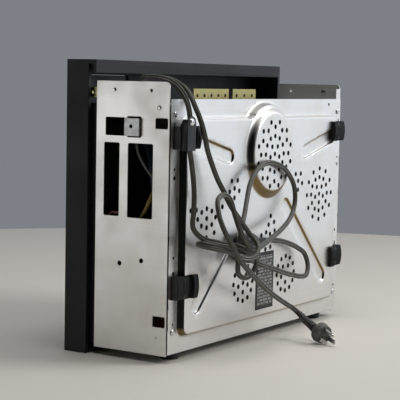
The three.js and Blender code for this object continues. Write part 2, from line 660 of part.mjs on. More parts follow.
// ---- Mains lead ----
function strainRelief() {
  const nozzle = HUB.x - HUB.radius - NOZZLE.reach - GAP;
  const [end, y, z] = CORD_ROUTE[0];
  return rod('x', [end + GAP, nozzle], [y, z], 3.9, 12, 5.2);
}

function cordStretch(points, steps) {
  return tube(points, CORD_RADIUS, steps, 8);
}

// The knot of crossing strands beside the outlet, as one closed outline with round ends, and the
// long double loop that stands up from it.
function cordHank() {
  const knotOutline = outlineOf([[96, 91], [145, 91], [158, 98], [170, 116], [188, 126], [194, 134],
    [194, 144], [188, 150], [96, 150], [90, 144], [90, 97]]);
  const loopOutline = outlineOf([[124, 145], [170, 145], [182, 166], [182, 180], [178, 194], [168, 202],
    [154, 203], [144, 198], [139, 188]]);
  const knot = extruded(knotOutline, 'y', [82.5, 134]);
  const turn = extruded(roundedRectangle([83.5, 120], [91, 128], 12), 'y', [101, 134]);
  const loop = extruded(loopOutline, 'y', [104, 131]);
  return join(knot, turn, loop);
}

// The plug's body is turned about its axis; two flat blades sit below a round earth pin.
function plug() {
  const side = new THREE.Vector3().crossVectors(PLUG_DIRECTION, new THREE.Vector3(0, 0, 1)).normalize();
  const up = new THREE.Vector3().crossVectors(side, PLUG_DIRECTION);
  const place = new THREE.Matrix4().makeBasis(side, PLUG_DIRECTION, up).setPosition(PLUG_BACK);
  const placed = (geometry) => solidOf(geometry.applyMatrix4(place));
  const body = placed(new THREE.LatheGeometry(outlineOf(PLUG.profile), 24));
  const [width, length, height] = PLUG.blade;
  const blades = [-PLUG.bladeX, PLUG.bladeX].map((x) => (
    placed(new THREE.BoxGeometry(width, length, height).translate(x, PLUG.face + length / 2, PLUG.bladeZ))
  ));
  const pin = new THREE.CylinderGeometry(PLUG.pinRadius, PLUG.pinRadius, PLUG.pinLength, 10);
  const earth = placed(pin.translate(0, PLUG.face + PLUG.pinLength / 2, PLUG.pinZ));
  return join(body, ...blades, earth);
}

// ---- Assembly ----
piece('fascia_frame', fasciaFrame(), blackPaint);
piece('inner_frame', innerFrame(), blackPaint);
piece('door_seal', doorSeal(), seal);
piece('side_plate_control', sidePlate(1), aluminised);
piece('side_plate_oven', ovenSidePlate(), aluminised);
piece('back_panel', backPanel(), aluminised);
piece('base_plate', deck(BASE_PLATE_Z), galvanised);
piece('top_plate', deck(TOP_PLATE_Z), galvanised);

piece('cavity_liner', cavityLiner(), enamel);
piece('insulation_blanket', insulationBlanket(), wool);
piece('upper_element', heatingElement(276), steel);
piece('lower_element', heatingElement(50), steel);
piece('rack_rail_left', rackRail(-1), steel);
piece('rack_rail_right', rackRail(1), steel);
piece('fan_housing', fanHousing(), galvanised);
piece('fan_impeller', fanImpeller(), steel);
piece('fan_motor', fanMotor(), copper);
piece('lamp_glass', ovenLamp(), clearGlass);
piece('thermostat_bulb', rod('x', [-100, -20], [42, 268], 3, 10), copper);
piece('rack', rackGrid(), steel);
piece('tray', bakingTray(), enamel);

piece('door_frame', doorFrame(), blackPaint);
piece('door_glass', doorGlass(), darkGlass);
piece('door_handle', doorHandle(), steel);
piece('hinge_bracket_left', hingeBracket([-203.5, -198], [-199, -190.3]), galvanised);
piece('hinge_bracket_right', hingeBracket([84, 89.5], [76.3, 85]), galvanised);
piece('hinge_arm_left', hingeArm([-197.6, -191]), steel);
piece('hinge_arm_right', hingeArm([77, 83.6]), steel);

piece('control_panel', controlPanel(), blackPlastic);
piece('display_window', box(widened(DISPLAY.x, -GAP), [-77.5, -74.5], widened(DISPLAY.z, -GAP)), darkGlass);
Object.entries(KNOB.z).forEach(([name, z]) => piece(name, knob(z), blackPlastic));
BUTTON.x.forEach((x, i) => piece(`button_${i + 1}`, pushButton(x), blackPlastic));
piece('control_board', controlBoard(), board);
piece('transformer', transformer(), copper);
piece('terminal_block', terminalBlock(), blackPlastic);
piece('wire_loom_power', tube(POWER_LOOM, 4, 24), blueWire);
piece('wire_loom_signal', tube(SIGNAL_LOOM, 3, 24), redWire);

piece('side_clip_control', sideClip(1), galvanised);
piece('side_clip_oven', sideClip(-1), galvanised);
piece('top_bracket_long', topBracket([25, 107], 5), passivated);
piece('top_bracket_short', topBracket([-43, 15], 3), passivated);
piece('fixing_ear', fixingEar(), passivated);
Object.entries(SPACER_ROWS).forEach(([row, z]) => {
  piece(`spacer_${row}_left`, spacer(1, z), blackPlastic);
  piece(`spacer_${row}_right`, spacer(-1, z), blackPlastic);
});
piece('rear_foot_left', rearFoot(1), blackPlastic);
piece('rear_foot_right', rearFoot(-1), blackPlastic);
piece('cord_clip', cordClip(), blackPlastic);
piece('cord_hub', cordHub(), blackPlastic);

piece('strain_relief', strainRelief(), plugGrey);
const exitLoop = [...CORD_ROUTE.slice(0, 17), [82, 104, 113.2]];
const topLoop = [[115.5, 116.5, 155], ...CORD_ROUTE.slice(31, 57), [192, 89, 161], [188, 91.5, 154]];
const wideRing = [[112, 106.5, 152], ...CORD_ROUTE.slice(70, 89), [82, 118.6, 132.5]];
const tail = [[88, 122, 87.5], ...CORD_ROUTE.slice(102)];
piece('cord_exit_loop', cordStretch(exitLoop, 17), cordSheath);
piece('cord_top_loop', cordStretch(topLoop, 30), cordSheath);
piece('cord_ring', cordStretch(wideRing, 21), cordSheath);
piece('cord_tail', cordStretch(tail, 10), cordSheath);
piece('cord_hank', cordHank(), cordSheath);
piece('plug', plug(), plugGrey);

export default oven;
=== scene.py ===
"""The looks of the wall oven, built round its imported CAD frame.

Metres, with +Z up, +X the control side and +Y the rear.
"""
import json
import math

import bmesh
import bpy
from mathutils import Matrix, Vector
from mathutils.geometry import delaunay_2d_cdt
from mathutils.kdtree import KDTree


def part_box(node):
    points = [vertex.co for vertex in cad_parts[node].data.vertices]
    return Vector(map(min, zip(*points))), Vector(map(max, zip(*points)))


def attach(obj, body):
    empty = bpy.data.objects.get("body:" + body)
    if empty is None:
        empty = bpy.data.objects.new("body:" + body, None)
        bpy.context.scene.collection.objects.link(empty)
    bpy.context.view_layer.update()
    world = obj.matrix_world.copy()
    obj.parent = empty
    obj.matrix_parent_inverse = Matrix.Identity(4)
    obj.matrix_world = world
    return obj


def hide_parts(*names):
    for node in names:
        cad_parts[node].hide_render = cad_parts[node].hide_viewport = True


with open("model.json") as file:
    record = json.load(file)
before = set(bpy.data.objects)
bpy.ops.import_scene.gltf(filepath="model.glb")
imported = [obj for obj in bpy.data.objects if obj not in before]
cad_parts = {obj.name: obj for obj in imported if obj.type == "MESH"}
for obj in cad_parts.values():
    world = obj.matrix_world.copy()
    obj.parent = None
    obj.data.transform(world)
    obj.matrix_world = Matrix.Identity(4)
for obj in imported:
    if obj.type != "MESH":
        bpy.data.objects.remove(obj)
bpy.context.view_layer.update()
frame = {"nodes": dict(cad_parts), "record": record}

MM = 0.001  # one millimetre in metres
ROOT = "chassis"
BODY_OF = {node: body for body, nodes in frame["record"]["behaviour"]["bodies"].items() for node in nodes}
SLOT_OF = {part["node"]: part["material_slot"] for part in frame["record"]["subparts"]}
CREASE = 35  # edges that turn by more than this many degrees stay hard
BEVEL_MARGIN = 5  # an edge is rounded if it turns by this many degrees more
MERGE_DISTANCE = 1e-6


# ---- Camera ----
CAMERA_PLACE = (1.4946, 0.9390, 0.3320)
# Degrees: the aim's turn away from square on to the back panel, its dip, and the camera's tilt.
CAMERA_HEADING, CAMERA_PITCH, CAMERA_ROLL = 57.145, 5.062, 1.116
CAMERA_LENS = 120.42  # mm, for the usual sensor, 36 mm wide


def add_camera():
    """Stands off the rear corner of the control side, a little lower than the oven's top."""
    heading, pitch, roll = (math.radians(turn) for turn in (CAMERA_HEADING, CAMERA_PITCH, CAMERA_ROLL))
    data = bpy.data.cameras.new("camera")
    data.lens = CAMERA_LENS
    camera = bpy.data.objects.new("camera", data)
    turn = (Matrix.Rotation(math.pi - heading, 4, "Z") @ Matrix.Rotation(math.pi / 2 - pitch, 4, "X")
            @ Matrix.Rotation(roll, 4, "Z"))
    camera.matrix_world = Matrix.Translation(CAMERA_PLACE) @ turn
    bpy.context.scene.collection.objects.link(camera)
    bpy.context.scene.camera = camera


# ---- Mesh helpers ----
def add_piece(name, mesh, material, body=ROOT, slot=None, smooth=True, bevel=0):
    """Links a mesh as a piece that rides on a CAD body."""
    piece = bpy.data.objects.new(name, mesh)
    bpy.context.scene.collection.objects.link(piece)
    mesh.materials.append(material)
    if smooth:
        mesh.shade_smooth()
        mesh.set_sharp_from_angle(angle=math.radians(CREASE))
    if bevel:
        soften_edges(piece, bevel)
    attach(piece, body)
    return piece


def soften_edges(piece, width):
    """Rounds the hard edges, as folded sheet and moulded plastic are."""
    bevel = piece.modifiers.new("edges", "BEVEL")
    bevel.width = width
    bevel.segments = 2
    bevel.limit_method = "ANGLE"
    bevel.angle_limit = math.radians(CREASE + BEVEL_MARGIN)
    bevel.harden_normals = True
    return bevel


def mesh_of(name, build):
    """A mesh made by a function that fills a bmesh."""
    bm = bmesh.new()
    build(bm)
    bmesh.ops.recalc_face_normals(bm, faces=bm.faces)
    mesh = bpy.data.meshes.new(name)
    bm.to_mesh(mesh)
    bm.free()
    return mesh


def build_piece(name, build, material, **how):
    """Makes a piece of a function that fills a bmesh."""
    return add_piece(name, mesh_of(name, build), material, **how)


def corners(node):
    """A CAD node's lowest and highest corners, to a hundredth of a millimetre."""
    return [[round(value, 5) for value in corner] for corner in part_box(node)]


def add_box(bm, low, high):
    size = [b - a for a, b in zip(low, high)]
    centre = [(a + b) / 2 for a, b in zip(low, high)]
    made = bmesh.ops.create_cube(bm, size=1)
    bmesh.ops.scale(bm, vec=size, verts=made["verts"])
    bmesh.ops.translate(bm, vec=centre, verts=made["verts"])
    return made["verts"]


def add_turned(bm, profile, place, sides=32):
    """A solid of revolution; profile is (radius, height) pairs that start and end on the axis."""
    rings = []
    for radius, height in profile:
        if radius == 0:
            rings.append([bm.verts.new(place @ Vector((0, 0, height)))])
            continue
        angles = [2 * math.pi * i / sides for i in range(sides)]
        rings.append([bm.verts.new(place @ Vector((radius * math.cos(a), radius * math.sin(a), height)))
                      for a in angles])
    for low, high in zip(rings, rings[1:]):
        for i in range(sides):
            k = i + 1
            around = [low[i % len(low)], low[k % len(low)], high[k % len(high)], high[i % len(high)]]
            unique = list(dict.fromkeys(around))
            if len(unique) > 2:
                bm.faces.new(unique)


def add_extruded(bm, outline, shift):
    """A prism: an outline of points pulled along a vector."""
    low = [bm.verts.new(p) for p in outline]
    high = [bm.verts.new(Vector(p) + Vector(shift)) for p in outline]
    bm.faces.new(low)
    bm.faces.new(list(reversed(high)))
    for i in range(len(low)):
        k = (i + 1) % len(low)
        bm.faces.new((low[k], low[i], high[i], high[k]))


def refine(node, material, width, angle, smooth):
    """A copy of a CAD node with rounded edges, and smooth shading if it has turned faces."""
    cad = frame["nodes"][node]

    def copy_of(bm):
        bm.from_mesh(cad.data)
        bm.transform(cad.matrix_world)
        bmesh.ops.remove_doubles(bm, verts=bm.verts, dist=MERGE_DISTANCE)
    mesh = mesh_of(node + "_skin", copy_of)
    piece = add_piece(node + "_skin", mesh, material, BODY_OF[node], SLOT_OF[node], smooth)
    if smooth:
        mesh.set_sharp_from_angle(angle=math.radians(angle))
    if width:
        edges = soften_edges(piece, width)
        edges.angle_limit = math.radians(angle + BEVEL_MARGIN)
        edges.harden_normals = smooth
    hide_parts(node)


def facing(point, direction):
    """A matrix whose Z axis is the direction, placed at the point."""
    turn = Vector(direction).normalized().to_track_quat("Z", "Y")
    return Matrix.Translation(point) @ turn.to_matrix().to_4x4()


# ---- Cord ----
# The lead's route in millimetres, outlet to plug, as in the CAD model.
CORD_ROUTE = [
    (24, 90, 131), (9, 89, 131), (-7, 89, 129), (-24, 89, 126), (-43, 89, 121), (-61, 89, 115),
    (-79, 91, 105), (-82, 95, 90), (-73, 98, 78), (-52, 99, 78), (-33, 99, 82), (-15, 100, 86),
    (4, 101, 91), (22, 102, 96), (41, 103, 101), (59, 104, 106), (78, 104, 112), (96, 104, 118),
    (114, 102, 123), (132, 99, 129), (150, 95, 133), (173, 86, 139), (185, 92, 142), (189, 101, 143),
    (187, 110, 142), (173, 119, 138), (151, 122, 129), (133, 128, 122), (116, 131, 126),
    (109, 128, 137), (114, 118, 152), (123, 110, 168), (132, 103, 184), (140, 98, 201),
    (149, 94, 217), (158, 92, 234), (167, 91, 251), (174, 91, 269), (179, 88, 287), (180, 80, 304),
    (176, 69, 319), (171, 53, 329), (167, 32, 335), (174, 16, 335), (184, 11, 334), (195, 14, 334),
    (205, 26, 336), (201, 50, 335), (199, 67, 327), (197, 78, 313), (196, 83.5, 296), (196, 84.6, 276),
    (196, 84.6, 254), (192, 85, 237), (189, 86, 218), (188, 87, 199), (190, 88, 180), (192, 89, 161),
    (181, 96, 148), (164, 105, 143), (146, 111, 139), (128, 115, 135), (110, 116, 127),
    (88, 115, 115), (88, 111, 102), (93, 108, 95), (102, 106, 94), (116, 106, 101), (121, 109, 124),
    (117, 108, 143), (107, 105, 159), (95, 101, 174), (84, 97, 189), (72, 93, 204), (59, 91, 217),
    (42, 91, 227), (24, 91, 231), (5, 91, 229), (-14, 92, 223), (-30, 92, 213), (-42, 93, 198),
    (-44, 94, 180), (-35, 96, 164), (-19, 98, 153), (-1, 101, 147), (17, 105, 143), (36, 109, 140),
    (54, 113, 137), (73, 117, 134), (92, 120, 131), (111, 122, 132), (128, 123, 140),
    (137, 120, 156), (141, 115, 174), (146, 110, 194), (159, 109, 199), (172, 110, 194),
    (178, 116, 176), (174, 122, 157), (166, 127, 141), (154, 129, 126), (139, 129, 114),
    (81, 121, 83), (39, 113, 65), (-15, 105, 44), (-22, 105, 41), (-27, 109, 36), (-29, 115, 31),
    (-27, 122, 26), (-23, 132, 22), (-18, 142, 18),
]
CORD_DIAMETER = 0.0065
CORD_STEP = 0.0026  # distance between the lead's rings of vertices
# The lead's section, in shares of its radius: the mean, the flattening from front to back, and the
# groove down the middle of each wide side. A higher sharpness makes a narrower groove.
SECTION_MEAN, SECTION_FLATTENING, GROOVE_DEPTH, GROOVE_SHARPNESS = 0.97, 0.07, 0.36, 20
TUBE_SIDES = 24
FACE_PULL = 0.12  # how fast a swept section turns to face the way it should, per ring
SPAN_SAMPLES = 16  # points worked out between two points of a route

PLUG_BACK = Vector(CORD_ROUTE[-1]) * MM
PLUG_DIRECTION = Vector((0.41, 0.88, -0.25)).normalized()
# Turned outlines of the plug's body and earth pin: radius, and distance from the plug's back, in mm.
PLUG_OUTLINE = [(0, 0.3), (3.4, 0.3), (4.2, 0.8), (4.6, 3), (5.2, 6), (7.8, 6.7), (10.6, 8.1), (12.6, 9.8),
                (13.1, 11), (13.2, 12.2), (13.1, 13.5), (12.3, 14.6), (11.6, 15.4), (11.7, 17.5),
                (12.1, 20.2), (11.7, 20.9), (9, 21), (0, 21)]
EARTH_OUTLINE = [(0, 20.8), (2.4, 20.8), (2.4, 37.2), (2.1, 38.2), (1.2, 39), (0, 39)]
EARTH_RISE = 0.0065  # the earth pin's height over the plug's middle
BLADE_SPREAD = 0.0063  # how far each blade stands from the plug's middle
BLADE_HALF = 0.0008  # half of a blade's thickness
BLADE_REACH = (0.0208, 0.0370)
BLADE_RISE = (-0.0075, -0.0011)
BLADE_CHAMFER = 0.0007

# The relief moulded on the plug: its length, radius at the thin end, growth, and its rings.
PLUG_RELIEF_LENGTH, PLUG_RELIEF_RADIUS, PLUG_RELIEF_GROWTH = 0.040, 0.0036, 0.0022
PLUG_RING_PITCH, PLUG_RING_DEPTH, PLUG_RING_RUN_IN = 0.004, 0.00035, 0.006
RELIEF_STEP = 0.0005  # distance between that relief's rings of vertices
# The relief at the outlet: its length, radius at the thick end, taper over its rings, and the rings.
EXIT_LENGTH, EXIT_RADIUS, EXIT_TAPER = 0.0221, 0.0052, 0.0013
EXIT_RINGS, EXIT_RING_PITCH, EXIT_FIRST_RING, EXIT_RING_DEPTH = 7, 0.0028, 0.0022, 0.0006
EXIT_GAP = 0.0003  # clear space between that relief's thin end and the lead


def between(a, b, start, end, t):
    """Where a steady move from a to b, which takes from start to end, is at the time t."""
    return a * ((end - t) / (end - start)) + b * ((t - start) / (end - start))


def smooth_path(points, step):
    """Even points along a centripetal Catmull-Rom spline through the given ones."""
    ends = [2 * points[0] - points[1], *points, 2 * points[-1] - points[-2]]
    dense = []
    for p0, p1, p2, p3 in zip(ends, ends[1:], ends[2:], ends[3:]):
        t1 = (p1 - p0).length ** 0.5
        t2 = t1 + (p2 - p1).length ** 0.5
        t3 = t2 + (p3 - p2).length ** 0.5
        for i in range(SPAN_SAMPLES):
            t = t1 + (t2 - t1) * i / SPAN_SAMPLES
            a1 = between(p0, p1, 0, t1, t)
            a2 = between(p1, p2, t1, t2, t)
            a3 = between(p2, p3, t2, t3, t)
            b1 = between(a1, a2, 0, t2, t)
            b2 = between(a2, a3, t1, t3, t)
            dense.append(between(b1, b2, t1, t2, t))
    dense.append(points[-1])
    even = [dense[0]]
    carried = 0.0
    for a, b in zip(dense, dense[1:]):
        length = (b - a).length
        while carried + length >= step:
            a = a.lerp(b, (step - carried) / length)
            even.append(a)
            length = (b - a).length
            carried = 0.0
        carried += length
    if (even[-1] - dense[-1]).length > step / 4:
        even.append(dense[-1])
    return even


def path_length(path):
    return sum((b - a).length for a, b in zip(path, path[1:]))


def sweep(bm, path, section, face=None):
    """A closed tube along the path, its frames carried without twist; section gives the radius
    from the angle and the distance. Given a face direction, angle 0 turns slowly towards it."""
    tangent = (path[1] - path[0]).normalized()
    normal = tangent.orthogonal().normalized()
    distance = 0.0
    rings = []
    for i, point in enumerate(path):
        before = path[max(i - 1, 0)]
        after = path[min(i + 1, len(path) - 1)]
        turned = (after - before).normalized()
        normal = (tangent.rotation_difference(turned) @ normal).normalized()
        tangent = turned
        if face:
            wanted = face - tangent * face.dot(tangent)
            normal = (normal + wanted * math.copysign(FACE_PULL, normal.dot(wanted))).normalized()
        side = tangent.cross(normal)
        distance += (point - before).length
        ring = []
        for k in range(TUBE_SIDES):
            angle = 2 * math.pi * k / TUBE_SIDES
            radius = section(angle, distance)
            outward = normal * math.cos(angle) + side * math.sin(angle)
            ring.append(bm.verts.new(point + radius * outward))
        rings.append(ring)
    for low, high in zip(rings, rings[1:]):
        for k in range(TUBE_SIDES):
            following = (k + 1) % TUBE_SIDES
            bm.faces.new((low[k], low[following], high[following], high[k]))
    bm.faces.new(rings[0])
    bm.faces.new(rings[-1])


def flat_section(angle, _distance):
    """A slightly flat lead with a groove down the middle of each wide side."""
    groove = abs(math.cos(angle)) ** GROOVE_SHARPNESS
    share = SECTION_MEAN - SECTION_FLATTENING * math.cos(2 * angle) - GROOVE_DEPTH * groove
    return CORD_DIAMETER / 2 * share


def add_plug_relief(path, rubber):
    """The ringed, tapered relief moulded on the plug, along the lead's last stretch."""
    stretch = [p for i, p in enumerate(path) if path_length(path[i:]) < PLUG_RELIEF_LENGTH]
    overall = path_length(stretch)

    def tapered(_angle, distance):
        ring = PLUG_RING_DEPTH * (1 if (distance / PLUG_RING_PITCH) % 1 < 0.5 else -1)
        smooth_radius = PLUG_RELIEF_RADIUS + PLUG_RELIEF_GROWTH * distance / overall
        return smooth_radius + ring * ease(distance / PLUG_RING_RUN_IN)
    fine = smooth_path(stretch, RELIEF_STEP)
    return build_piece("plug_relief", lambda bm: sweep(bm, fine, tapered), rubber, slot="plug_grey")


def add_plug(steel):
    """A round three-pin plug: waisted grip, flat face, two blades below a round earth pin."""
    side = PLUG_DIRECTION.cross(Vector((0, 0, 1))).normalized()
    up = side.cross(PLUG_DIRECTION)
    place = Matrix((side, PLUG_DIRECTION, up)).transposed().to_4x4()
    place.translation = PLUG_BACK
    along = Matrix.Rotation(-math.pi / 2, 4, "X")

    def body(bm):
        add_turned(bm, [(r * MM, h * MM) for r, h in PLUG_OUTLINE], place @ along, 48)

    def pins(bm):
        root, tip = BLADE_REACH
        low, high = BLADE_RISE
        for x in (-BLADE_SPREAD, BLADE_SPREAD):
            for vert in add_box(bm, (x - BLADE_HALF, root, low), (x + BLADE_HALF, tip, high)):
                if vert.co.y > (root + tip) / 2:
                    vert.co.z += BLADE_CHAMFER if vert.co.z < (low + high) / 2 else -BLADE_CHAMFER
                vert.co = place @ vert.co
        raised = place @ Matrix.Translation((0, 0, EARTH_RISE)) @ along
        add_turned(bm, [(r * MM, h * MM) for r, h in EARTH_OUTLINE], raised, 24)
    grey = moulded_rubber("plug_rubber", 2.2)
    plug = build_piece("plug_body", body, grey, slot="plug_grey")
    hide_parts("plug")
    metal = build_piece("plug_pins", pins, steel, slot="steel", bevel=0.0002)
    return [plug, metal]


def add_exit_relief(rubber):
    """The tapered, ringed relief at the outlet's nozzle."""
    start = Vector(CORD_ROUTE[0]) * MM + Vector((EXIT_LENGTH + EXIT_GAP, 0, 0))
    outline = [(0.0, 0.0), (EXIT_RADIUS, 0.0)]
    for i in range(EXIT_RINGS):
        base = EXIT_FIRST_RING + EXIT_RING_PITCH * i
        radius = EXIT_RADIUS - EXIT_TAPER * (i + 1) / (EXIT_RINGS + 1)
        inner = radius - EXIT_RING_DEPTH
        outline += [(radius, base), (inner, base + 0.0004), (inner, base + 0.001), (radius, base + 0.0014)]
    outline += [(0.0038, EXIT_LENGTH - 0.0004), (0.0034, EXIT_LENGTH), (0.0, EXIT_LENGTH)]
    place = facing(start, (-1, 0, 0))
    relief = build_piece("outlet_relief", lambda bm: add_turned(bm, outline, place), rubber,
                         slot="plug_grey")
    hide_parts("strain_relief")


def add_cord(material, rubber, steel):
    """The mains lead from the outlet to the plug, with the plug and its relief."""
    path = smooth_path([Vector(p) * MM for p in CORD_ROUTE], CORD_STEP)
    lead = build_piece("mains_lead", lambda bm: sweep(bm, path, flat_section, Vector((0, 1, 0))), material,
                       slot="cord_sheath")
    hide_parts("cord_exit_loop", "cord_top_loop", "cord_ring", "cord_tail", "cord_hank")
    ends = [*add_plug(steel), add_plug_relief(path, rubber)]


# ---- Materials ----
class Shader:
    """A node material under construction, with short ways to add the nodes that repeat."""

    def __init__(self, name, base, roughness, metallic=0.0):
        self.material = bpy.data.materials.new(name)
        self.material.use_nodes = True
        self.tree = self.material.node_tree
        self.surface = self.tree.nodes["Principled BSDF"]
        self.set("Base Color", (*base, 1))
        self.set("Roughness", roughness)
        self.set("Metallic", metallic)
        self.place = self.tree.nodes.new("ShaderNodeTexCoord").outputs["Object"]

    def set(self, socket, value):
        self.surface.inputs[socket].default_value = value

    def link(self, output, target):
        self.tree.links.new(output, target)

    def feed(self, socket, value):
        """Links an output to the socket, or sets the socket to a number, a vector or a colour."""
        if isinstance(value, bpy.types.NodeSocket):
            self.link(value, socket)
        else:
            socket.default_value = (*value, 1) if socket.type == "RGBA" else value

    def node(self, kind, **inputs):
        made = self.tree.nodes.new("ShaderNode" + kind)
        for name, value in inputs.items():
            self.feed(made.inputs[name], value)
        return made

    def stretched(self, scale):
        """Coordinates scaled unevenly, for grain that runs one way."""
        return self.node("Mapping", Vector=self.place, Scale=scale).outputs["Vector"]

    def noise(self, scale, detail=3.0, vector=None, roughness=0.55):
        made = self.node("TexNoise", Vector=vector or self.place, Scale=scale, Detail=detail,
                         Roughness=roughness)
        return made.outputs["Fac"]

    def cells(self, scale, feature="F1", output="Distance"):
        made = self.node("TexVoronoi", Vector=self.place, Scale=scale)
        made.feature = feature
        return made.outputs[output]

    def ramp(self, value, stops):
        """Colour stops (position, rgb) or (position, grey)."""
        made = self.node("ValToRGB", Fac=value)
        elements = made.color_ramp.elements
        while len(elements) < len(stops):
            elements.new(0.5)
        for element, (position, colour) in zip(elements, stops):
            rgb = colour if isinstance(colour, tuple) else (colour,) * 3
            element.position = position
            element.color = (*rgb, 1)
        return made.outputs["Color"]

    def mix(self, factor, a, b):
        """Colour mix; a, b and factor are outputs, or numbers and colours."""
        made = self.node("Mix")
        made.data_type = "RGBA"
        for index, value in ((0, factor), (6, a), (7, b)):
            self.feed(made.inputs[index], value)
        return made.outputs[2]

    def math(self, operation, a, b):
        made = self.node("Math")
        made.operation = operation
        for socket, value in zip(made.inputs, (a, b)):
            self.feed(socket, value)
        return made.outputs["Value"]

    def lean(self, name):
        """How far the surface faces along one axis, from -1 to 1."""
        normal = self.node("NewGeometry").outputs["Normal"]
        return self.node("SeparateXYZ", Vector=normal).outputs[name]

    def colour(self, output):
        self.link(output, self.surface.inputs["Base Color"])

    def rough(self, output):
        self.link(output, self.surface.inputs["Roughness"])

    def bump(self, height, strength, distance):
        made = self.node("Bump", Strength=strength, Distance=distance, Height=height)
        previous = self.surface.inputs["Normal"].links
        if previous:
            self.link(previous[0].from_socket, made.inputs["Normal"])
        self.link(made.outputs["Normal"], self.surface.inputs["Normal"])

    def grain(self, scale, detail, strength, distance):
        """Noise as bump."""
        self.bump(self.noise(scale, detail), strength, distance)

    def patchy(self, scale, detail, stops):
        """Roughness in patches."""
        self.rough(self.ramp(self.noise(scale, detail), stops))


def aluminised_sheet(name="aluminised_sheet", pressed=False, metallic=0.92):
    """Satin rolled sheet: faint rolling lines, a fine grain, handling smudges and a warm drift.
    A pressed sheet also has tones that stand for reflections of a dark room and a wooden table: its
    walls that face the control side are dark, and those that face down are brown."""
    s = Shader(name, (0.66, 0.67, 0.68), 0.34, metallic)
    rolling = s.noise(1.0, 4, s.stretched((5, 5, 700)))
    smudges = s.noise(16, 5)
    warm = s.ramp(smudges, [(0.45, 0.0), (0.8, 0.7)])
    drift = s.mix(warm, (0.72, 0.71, 0.69), (0.62, 0.58, 0.51))
    finish = s.mix(s.ramp(rolling, [(0.3, 0.0), (0.8, 0.35)]), drift, (0.58, 0.57, 0.55))
    if pressed:
        sideways = s.ramp(s.lean("X"), [(0.3, 0.0), (0.62, 1.0)])
        finish = s.mix(sideways, finish, (0.02, 0.021, 0.022))
        downward = s.ramp(s.math("MULTIPLY", s.lean("Z"), -1.0), [(0.12, 0.0), (0.4, 1.0)])
        finish = s.mix(downward, finish, (0.22, 0.155, 0.07))
    s.colour(finish)
    s.rough(s.mix(s.ramp(smudges, [(0.35, 0.0), (0.7, 1.0)]), (0.30,) * 3, (0.42,) * 3))
    s.bump(rolling, 0.05, 0.0003)
    s.grain(1600, 2, 0.05, 0.0001)
    s.grain(7, 0, 0.12, 0.003)
    return s.material


def galvanised_sheet():
    """Dull zinc with its spangle, about 5 mm across."""
    s = Shader("galvanised_sheet", (0.5, 0.51, 0.5), 0.42, 1.0)
    spangle = s.cells(190, output="Color")
    s.colour(s.mix(spangle, (0.42, 0.43, 0.43), (0.6, 0.61, 0.6)))
    s.patchy(60, 4, [(0.3, 0.34), (0.75, 0.55)])
    s.grain(400, 3, 0.1, 0.0003)
    return s.material


def passivated_zinc():
    """Yellow chromate over zinc, with its green and pink drift."""
    s = Shader("passivated_zinc", (0.4, 0.34, 0.14), 0.36, 1.0)
    drift = s.noise(55, 3)
    s.colour(s.ramp(drift, [(0.3, (0.36, 0.34, 0.15)), (0.5, (0.42, 0.36, 0.15)),
                                  (0.7, (0.36, 0.25, 0.13))]))
    s.patchy(150, 3, [(0.3, 0.28), (0.7, 0.46)])
    s.grain(700, 2, 0.08, 0.0003)
    return s.material


def black_paint():
    """Satin powder coat with a fine orange peel, a little dust where it faces up and rubbed patches."""
    s = Shader("black_paint", (0.008, 0.008, 0.009), 0.5)
    s.set("Specular IOR Level", 0.3)
    upward = s.math("MAXIMUM", s.lean("Z"), 0.0)
    dust = s.math("MULTIPLY", upward, s.ramp(s.noise(90, 6), [(0.35, 0.0), (0.85, 0.25)]))
    s.colour(s.mix(dust, (0.007, 0.0075, 0.009), (0.09, 0.085, 0.075)))
    s.patchy(18, 5, [(0.3, 0.44), (0.75, 0.6)])
    s.grain(900, 2, 0.12, 0.0004)
    return s.material


def black_plastic():
    """Moulded plastic with a fine spark grain and slight greying."""
    s = Shader("black_plastic", (0.008, 0.008, 0.009), 0.45)
    s.set("Specular IOR Level", 0.35)
    greyed = s.ramp(s.noise(40, 6), [(0.45, 0.0), (0.85, 0.7)])
    s.colour(s.mix(greyed, (0.006, 0.006, 0.007), (0.018, 0.018, 0.02)))
    s.patchy(70, 4, [(0.3, 0.36), (0.75, 0.56)])
    s.grain(1500, 2, 0.14, 0.0002)
    return s.material


def cord_sheath():
    """Grey-brown vinyl, dull, with scuffs along it, and painted shade that darkens its grooves."""
    s = Shader("cord_sheath", (0.045, 0.042, 0.03), 0.42)
    scuffs = s.noise(120, 6)
    scuffed = s.ramp(scuffs, [(0.4, 0.0), (0.75, 1.0)])
    sheath_tone = s.mix(scuffed, (0.04, 0.038, 0.028), (0.085, 0.08, 0.06))
    # Painted shade: where the surface is concave, down the grooves, the colour is darkened almost to black.
    groove_shade_pointiness = s.node("NewGeometry").outputs["Pointiness"]
    s.colour(s.mix(s.ramp(groove_shade_pointiness, [(0.47, 0.0), (0.515, 1.0)]), (0.005, 0.005, 0.0035), sheath_tone))
    s.patchy(60, 4, [(0.3, 0.38), (0.75, 0.6)])
    s.grain(900, 3, 0.15, 0.0003)
    return s.material


def moulded_rubber(name="moulded_rubber", lift=1.0):
    """Dull grey-green rubber, paler where it has been handled; lift makes all of it paler."""
    worn = tuple(part * lift for part in (0.026, 0.027, 0.025))
    handled = tuple(part * lift for part in (0.075, 0.078, 0.07))
    s = Shader(name, worn, 0.5)
    s.colour(s.mix(s.ramp(s.noise(90, 5), [(0.4, 0.0), (0.8, 1.0)]), worn, handled))
    s.patchy(50, 4, [(0.3, 0.4), (0.75, 0.62)])
    s.grain(1100, 2, 0.15, 0.0003)
    return s.material


def bright_steel():
    """Drawn steel with fine scratches."""
    s = Shader("bright_steel", (0.62, 0.62, 0.62), 0.22, 1.0)
    scratches = s.noise(1.0, 3, s.stretched((40, 900, 900)))
    s.rough(s.ramp(scratches, [(0.3, 0.14), (0.75, 0.36)]))
    s.colour(s.mix(s.noise(80, 4), (0.55, 0.55, 0.56), (0.7, 0.69, 0.67)))
    s.bump(scratches, 0.06, 0.0002)
    return s.material


